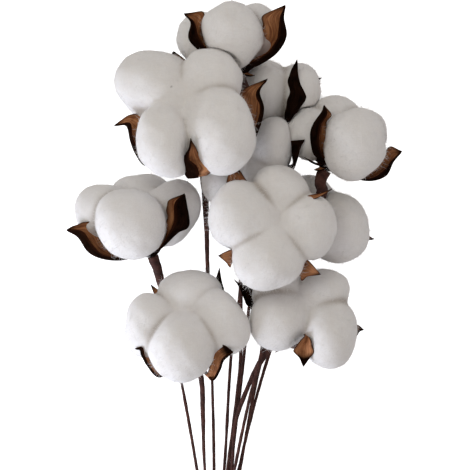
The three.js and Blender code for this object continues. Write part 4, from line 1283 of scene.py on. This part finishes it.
@dataclass
class LintHead:
    """The lint of one boll: four locks grown together, with loose fibres."""

    boll: Boll
    rows: int = 60
    cols: int = 72
    root_depth: float = 5.0
    fill: float = 0.13
    fibres: int = 3400
    softness: int = 22
    bare_margin: float = 2.5
    least_depth: float = 2.0
    floor_gap: float = 0.15
    crease_width: float = 1.9
    root_width: float = 13.0
    speck_radius: float = 0.4
    fibre_root: float = 0.3
    fibre_wander: float = 1.1
    fibre_bend: float = 0.45

    def lock_points(self, lock: Lock) -> Array:
        """Free form of a lock: an ellipsoid drawn out and narrowed towards the boll's base.

        A direction on a sphere, given by its angle from the root and its angle round the pole, is
        scaled to the half sizes. Below the middle it is stretched along the pole, and towards the
        boll's axis it swells with the square of the cosine.

        Args:
            lock: The lock.

        Returns:
            Points of shape (rows, cols, 3), relative to the lock's centre.
        """
        centre = np.array(lock.at)
        reach = centre - self.boll.foot
        pole = unit(reach)
        helper = np.array([0.0, 0, 1]) if abs(pole[2]) < 0.9 else np.array([0.0, 1, 0])
        u, v = cross_axes(pole, helper)
        polar = np.linspace(0.0, np.pi, self.rows)[:, None, None]
        around = np.linspace(0.0, 2 * np.pi, self.cols, endpoint=False)[None, :, None]
        q = -np.cos(polar) * pole + np.sin(polar) * (np.cos(around) * u + np.sin(around) * v)
        half = np.array(lock.size)
        p = turned_about_z(turned_about_z(q, -lock.turn) * half, lock.turn)
        stretch = max(1.0, (np.linalg.norm(reach) - self.root_depth) / np.linalg.norm(half) * 3**0.5)
        p = p + np.minimum(p @ pole, 0.0)[..., None] * (stretch - 1) * pole
        inward = self.boll.centre - centre
        inward = unit(inward - (inward @ self.boll.axis) * self.boll.axis)
        facing = np.maximum(q @ inward, 0.0)[..., None]
        return p + self.fill * facing**2 * np.linalg.norm(half) * inward

    @staticmethod
    def first_hit(directions: Array, balls: Balls, furthest: float) -> Array:
        """How far a point can go from the origin in each direction before it meets a ball.

        For a ball at m of radius r and the unit direction d that is m.d - sqrt(r^2 - m.m + (m.d)^2).

        Args:
            directions: Unit vectors, one row each.
            balls: The balls, seen from the origin.
            furthest: Distance past which none matters.

        Returns:
            The distances, very large where nothing is met.
        """
        near = np.linalg.norm(balls.centres, axis=1) - balls.radii < furthest
        m, r = balls.centres[near], balls.radii[near]
        if not len(m):
            return np.full(len(directions), 1e9)
        along = directions @ m.T
        inside = r**2 - (m * m).sum(axis=1) + along**2
        hit = np.where((inside > 0) & (along > 0), along - np.sqrt(np.maximum(inside, 0)), 1e9)
        return hit.min(axis=1)

    def pressed(self, lock: Lock, others: Balls) -> Array:
        """A lock that gives way to what touches it, apart from the valves that it grew between.

        Args:
            lock: The lock.
            others: Balls that stand for stems, other burs and the lint that presses on this one.

        Returns:
            Points of shape (rows, cols, 3) in the part's frame.
        """
        centre = np.array(lock.at)
        p = self.lock_points(lock)
        lumps = ripple(p + centre, 24.0, self.boll.seed + 1) * 0.7
        lumps = lumps + ripple(p + centre, 11.0, self.boll.seed + 2) * 0.22
        far = np.linalg.norm(p, axis=-1)
        d = p / far[..., None]
        far = (far + lumps).ravel()
        flat = d.reshape(-1, 3)
        reach = far.max() + 1.0
        stop = np.maximum(self.first_hit(flat, others.seen_from(centre), reach), self.least_depth)
        far = np.minimum(far, stop)
        points = centre + d * far.reshape(d.shape[:2])[..., None]
        points[..., 2] = np.maximum(points[..., 2], self.floor_gap)
        return points

    def skin(self, others: Balls) -> bpy.types.Mesh:
        """Joins the four locks into one soft skin.

        Args:
            others: Balls that stand for all that isn't this boll.

        Returns:
            The skin's mesh, with the mark of painted crease shade and the speck mark.
        """
        parts = []
        for lock in self.boll.locks:
            rings = self.pressed(lock, others)
            parts.append(closed_skin(rings[1:-1], rings[0, 0], rings[-1, 0], {}))
        name = f"lint_{self.boll.name}_locks"
        raw = bpy.data.objects.new(name, Surface.joined(parts).mesh(name))
        bpy.context.scene.collection.objects.link(raw)
        remesh = raw.modifiers.new("one_skin", "REMESH")
        remesh.mode = "VOXEL"
        remesh.voxel_size = VOXEL * MM
        soft = raw.modifiers.new("soft", "SMOOTH")
        soft.factor = 0.5
        soft.iterations = self.softness
        shown = raw.evaluated_get(bpy.context.evaluated_depsgraph_get())
        mesh = bpy.data.meshes.new_from_object(shown)
        old = raw.data
        bpy.data.objects.remove(raw)
        bpy.data.meshes.remove(old)
        mesh.name = f"lint_{self.boll.name}_fluff"
        points = np.empty(len(mesh.vertices) * 3, np.float32)
        normals = np.empty(len(mesh.vertices) * 3, np.float32)
        mesh.vertices.foreach_get("co", points)
        mesh.vertex_normals.foreach_get("vector", normals)
        points = points.reshape(-1, 3).astype(float) / MM
        normals = normals.reshape(-1, 3).astype(float)
        tuft = ripple(points, 3.6, self.boll.seed + 3) * 0.05
        points = points + normals * tuft[:, None]
        points[:, 2] = np.maximum(points[:, 2], 0.05)
        mesh.vertices.foreach_set("co", (points * MM).astype(np.float32).ravel())
        # The crease mark carries painted shade for the creases between locks and near the base.
        for mark, values in (("hollow", self.hollow(points)), ("speck", self.speck(points))):
            layer = mesh.attributes.new(mark, "FLOAT", "POINT")
            layer.data.foreach_set("value", values.astype(np.float32))
        mesh.polygons.foreach_set("use_smooth", np.ones(len(mesh.polygons), bool))
        mesh.update()
        return mesh

    def hollow(self, points: Array) -> Array:
        """How much painted shade each point takes, from how deep in a crease it lies.

        The distance to a lock's surface is its half size times (its scaled radius less one). A
        point near two surfaces at once lies in a crease, and one near the base lies deep.

        Args:
            points: Places on the skin.

        Returns:
            Values from 0, open and unshaded, to 1, deep in a crease and darkest.
        """
        depth = []
        for lock in self.boll.locks:
            half = np.array(lock.size)
            scaled = turned_about_z(points - np.array(lock.at), -lock.turn) / half
            depth.append((np.linalg.norm(scaled, axis=1) - 1) * half.mean())
        second = np.sort(np.array(depth), axis=0)[1]
        crease = np.exp(-((np.maximum(second, 0.0) / self.crease_width) ** 2))
        root = np.exp(-((np.linalg.norm(points - self.boll.foot, axis=1) / self.root_width) ** 2))
        return np.clip(crease + root, 0.0, 1.0)

    def speck(self, points: Array) -> Array:
        """Marks the small bits of dry leaf on the lint, each 1 in its middle and 0 away from it."""
        value = np.zeros(len(points))
        for spot in self.boll.specks:
            away = np.linalg.norm(points[:, :2] - spot[:2], axis=1) / self.speck_radius
            value = np.maximum(value, np.exp(-(away**4)))
        return value

    def fuzz(self, mesh: bpy.types.Mesh, burs: Balls) -> Surface:
        """Loose fibres: slim spindles of three sides that stand from the skin and curl.

        A fibre starts just under the skin, at a place drawn evenly by area but away from the
        valves, and runs out along the normal mixed with a random direction, bending by a second
        random one with the square of the way along.

        Args:
            mesh: The skin.
            burs: Balls that stand for the valves of every boll.

        Returns:
            All the fibres as one surface.
        """
        rng = np.random.default_rng(self.boll.seed + 7)
        mesh.calc_loop_triangles()
        corners = np.empty(len(mesh.loop_triangles) * 3, np.int32)
        mesh.loop_triangles.foreach_get("vertices", corners)
        co = np.empty(len(mesh.vertices) * 3, np.float32)
        mesh.vertices.foreach_get("co", co)
        tri = (co.reshape(-1, 3).astype(float) / MM)[corners.reshape(-1, 3)]
        normal = np.cross(tri[:, 1] - tri[:, 0], tri[:, 2] - tri[:, 0])
        area = np.linalg.norm(normal, axis=1)
        near = burs.close_to(tri[:, 0], self.bare_margin)
        area[near.distance(tri[:, 0]) < self.bare_margin] = 0.0
        chosen = rng.choice(len(tri), self.fibres, p=area / area.sum())
        weight = rng.dirichlet((1.0, 1.0, 1.0), self.fibres)
        root = (tri[chosen] * weight[..., None]).sum(axis=1)
        normal = unit(normal[chosen])
        wander = unit(rng.normal(size=(self.fibres, 3)))
        bend = unit(rng.normal(size=(self.fibres, 3)))
        heading = unit(normal + self.fibre_wander * wander)
        heading = heading + normal * np.maximum(0.15 - (heading * normal).sum(axis=1), 0)[:, None]
        length = rng.gamma(5.0, 0.38, self.fibres)[:, None, None]
        s = np.array([0.0, 0.35, 0.7, 1.0])[None, :, None]
        path = root[:, None] - self.fibre_root * normal[:, None] + heading[:, None] * s * length
        path = path + bend[:, None] * (s**2) * length * self.fibre_bend
        u = unit(np.cross(heading, bend))
        v = unit(np.cross(heading, u))
        theta = np.arange(3) * 2 * np.pi / 3
        thick = rng.uniform(0.035, 0.06, self.fibres)[:, None, None]
        cos, sin = np.cos(theta)[None, :, None], np.sin(theta)[None, :, None]
        ring = (cos * u[:, None] + sin * v[:, None]) * thick
        points = np.concatenate(
            [path[:, :1], path[:, 1:2] + ring, path[:, 2:3] + ring * 0.8, path[:, 3:]], axis=1
        )
        points[..., 2] = np.maximum(points[..., 2], 0.02)
        k = np.arange(3)
        after = (k + 1) % 3
        ends = np.vstack(
            [
                np.column_stack([np.zeros(3, int), 1 + after, 1 + k]),
                np.column_stack([np.full(3, 7), 4 + k, 4 + after]),
            ]
        )
        sides = np.column_stack([1 + k, 1 + after, 4 + after, 4 + k])
        start = (np.arange(self.fibres) * 8)[:, None, None]
        faces = [(block[None] + start).reshape(-1, block.shape[1]) for block in (sides, ends)]
        none = np.zeros(self.fibres * 8)
        # Loose fibres take no painted crease shade.
        return Surface(points.reshape(-1, 3), faces, {"hollow": none, "speck": none})

    def build(self, finish: bpy.types.Material, others: Balls, burs: Balls) -> None:
        """Makes the lint and its fibres.

        Args:
            finish: The lint's material.
            others: Balls that stand for all that isn't this boll.
            burs: Balls that stand for the valves of every boll.
        """
        mesh = self.skin(others)
        place(mesh, finish, f"lint_{self.boll.name}")
        place(self.fuzz(mesh, burs).mesh(f"lint_{self.boll.name}_fuzz"), finish, None)

    def balls(self, inset: float = 6.0) -> Balls:
        """Balls just under the free surface of the locks, which press on other bolls' lint.

        Args:
            inset: Radius of the balls, before the clearance is added.

        Returns:
            The balls.
        """
        found = []
        for lock in self.boll.locks:
            p = self.lock_points(lock)[::3, ::3]
            size = np.linalg.norm(p, axis=-1, keepdims=True)
            found.append((np.array(lock.at) + p * (1 - inset / size)).reshape(-1, 3))
        centres = np.concatenate(found)
        return Balls(centres, np.full(len(centres), inset + LINT_GAP))


# Stage


@dataclass
class Stage:
    """Floor, light and camera. The camera looks straight down on the bunch."""

    middle: Point = (0.48, 77.5, 60.0)
    distance: float = 2500.0
    view_width: float = 225.6
    floor_side: float = 6000.0

    def floor(self) -> None:
        """Makes the table: one large flat sheet just under the bunch."""
        side = self.floor_side / 2
        corners = np.array([[-1, -1, 0], [1, -1, 0], [1, 1, 0], [-1, 1, 0]]) * side
        corners = corners + [0, 0, -0.1]
        mesh = Surface(corners, [np.array([[0, 1, 2, 3]])]).mesh("table")
        mesh.materials.append(FloorFinish().material())
        table = bpy.data.objects.new("table", mesh)
        bpy.context.scene.collection.objects.link(table)

    def light(self, name: str, at: Point, aim: Point, side: float, watts: float, colour: Point) -> None:
        """Adds a square soft light.

        Args:
            name: Its name.
            at: Where it hangs, in millimetres.
            aim: The point that it faces.
            side: Length of its side.
            watts: Its power.
            colour: Linear colour.
        """
        data = bpy.data.lights.new(name, "AREA")
        data.size = side * MM
        data.energy = watts
        data.color = colour
        lamp = bpy.data.objects.new(name, data)
        bpy.context.scene.collection.objects.link(lamp)
        start, end = Vector(at) * MM, Vector(aim) * MM
        lamp.location = start
        lamp.rotation_euler = (start - end).to_track_quat("Z", "Y").to_euler()

    def build(self) -> None:
        """Sets up floor, lights, world and camera: a cool low window at the left in a warm room."""
        self.floor()
        self.light("window", (-340, -190, 125), (0, 90, 40), 200, 1.2, (0.8, 0.86, 1.0))
        self.light("high_window", (-179, 269, 584), (0, 90, 40), 250, 0.42, (1.0, 1.0, 0.85))
        world = bpy.data.worlds.new("studio")
        bpy.context.scene.world = world
        world.use_nodes = True
        world.node_tree.nodes["Background"].inputs["Color"].default_value = (1.0, 0.962, 0.945, 1.0)
        world.node_tree.nodes["Background"].inputs["Strength"].default_value = 0.51
        data = bpy.data.cameras.new("camera")
        data.sensor_width = 36.0
        data.lens = 36.0 * self.distance / self.view_width
        data.clip_end = 20.0
        camera = bpy.data.objects.new("camera", data)
        bpy.context.scene.collection.objects.link(camera)
        x, y, z = self.middle
        camera.location = (x * MM, y * MM, (z + self.distance) * MM)
        bpy.context.scene.camera = camera
        scene = bpy.context.scene
        scene.view_settings.view_transform = "Standard"
        scene.view_settings.look = "None"
        scene.view_settings.exposure = 0.0
        scene.view_settings.gamma = 1.0


def main() -> None:
    """Builds stage, stems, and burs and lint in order."""
    logging.basicConfig(level=logging.INFO, format="%(name)s %(message)s")
    Stage().build()
    lint, dried, tape = LintFinish().material(), BurFinish().material(), TapeFinish().material()
    bolls = {boll.name: boll for boll in BOLLS}
    burs = {name: Bur(boll) for name, boll in bolls.items()}
    stems = {name: Stem(boll) for name, boll in bolls.items()}
    heads = {name: LintHead(boll) for name, boll in bolls.items()}
    wood, valves, pressing = [], {}, []
    for name in bolls:
        stems[name].build(tape)
        burs[name].build(dried)
        wood.append(stems[name].balls())
        valves[name] = burs[name].balls()
    for name in PRESS_ORDER:
        foreign = [valves[other] for other in bolls if other != name]
        others = Balls.joined(wood + foreign + pressing)
        heads[name].build(lint, others, Balls.joined(list(valves.values())))
        pressing.append(heads[name].balls())


if __name__ == "__main__":
    main()
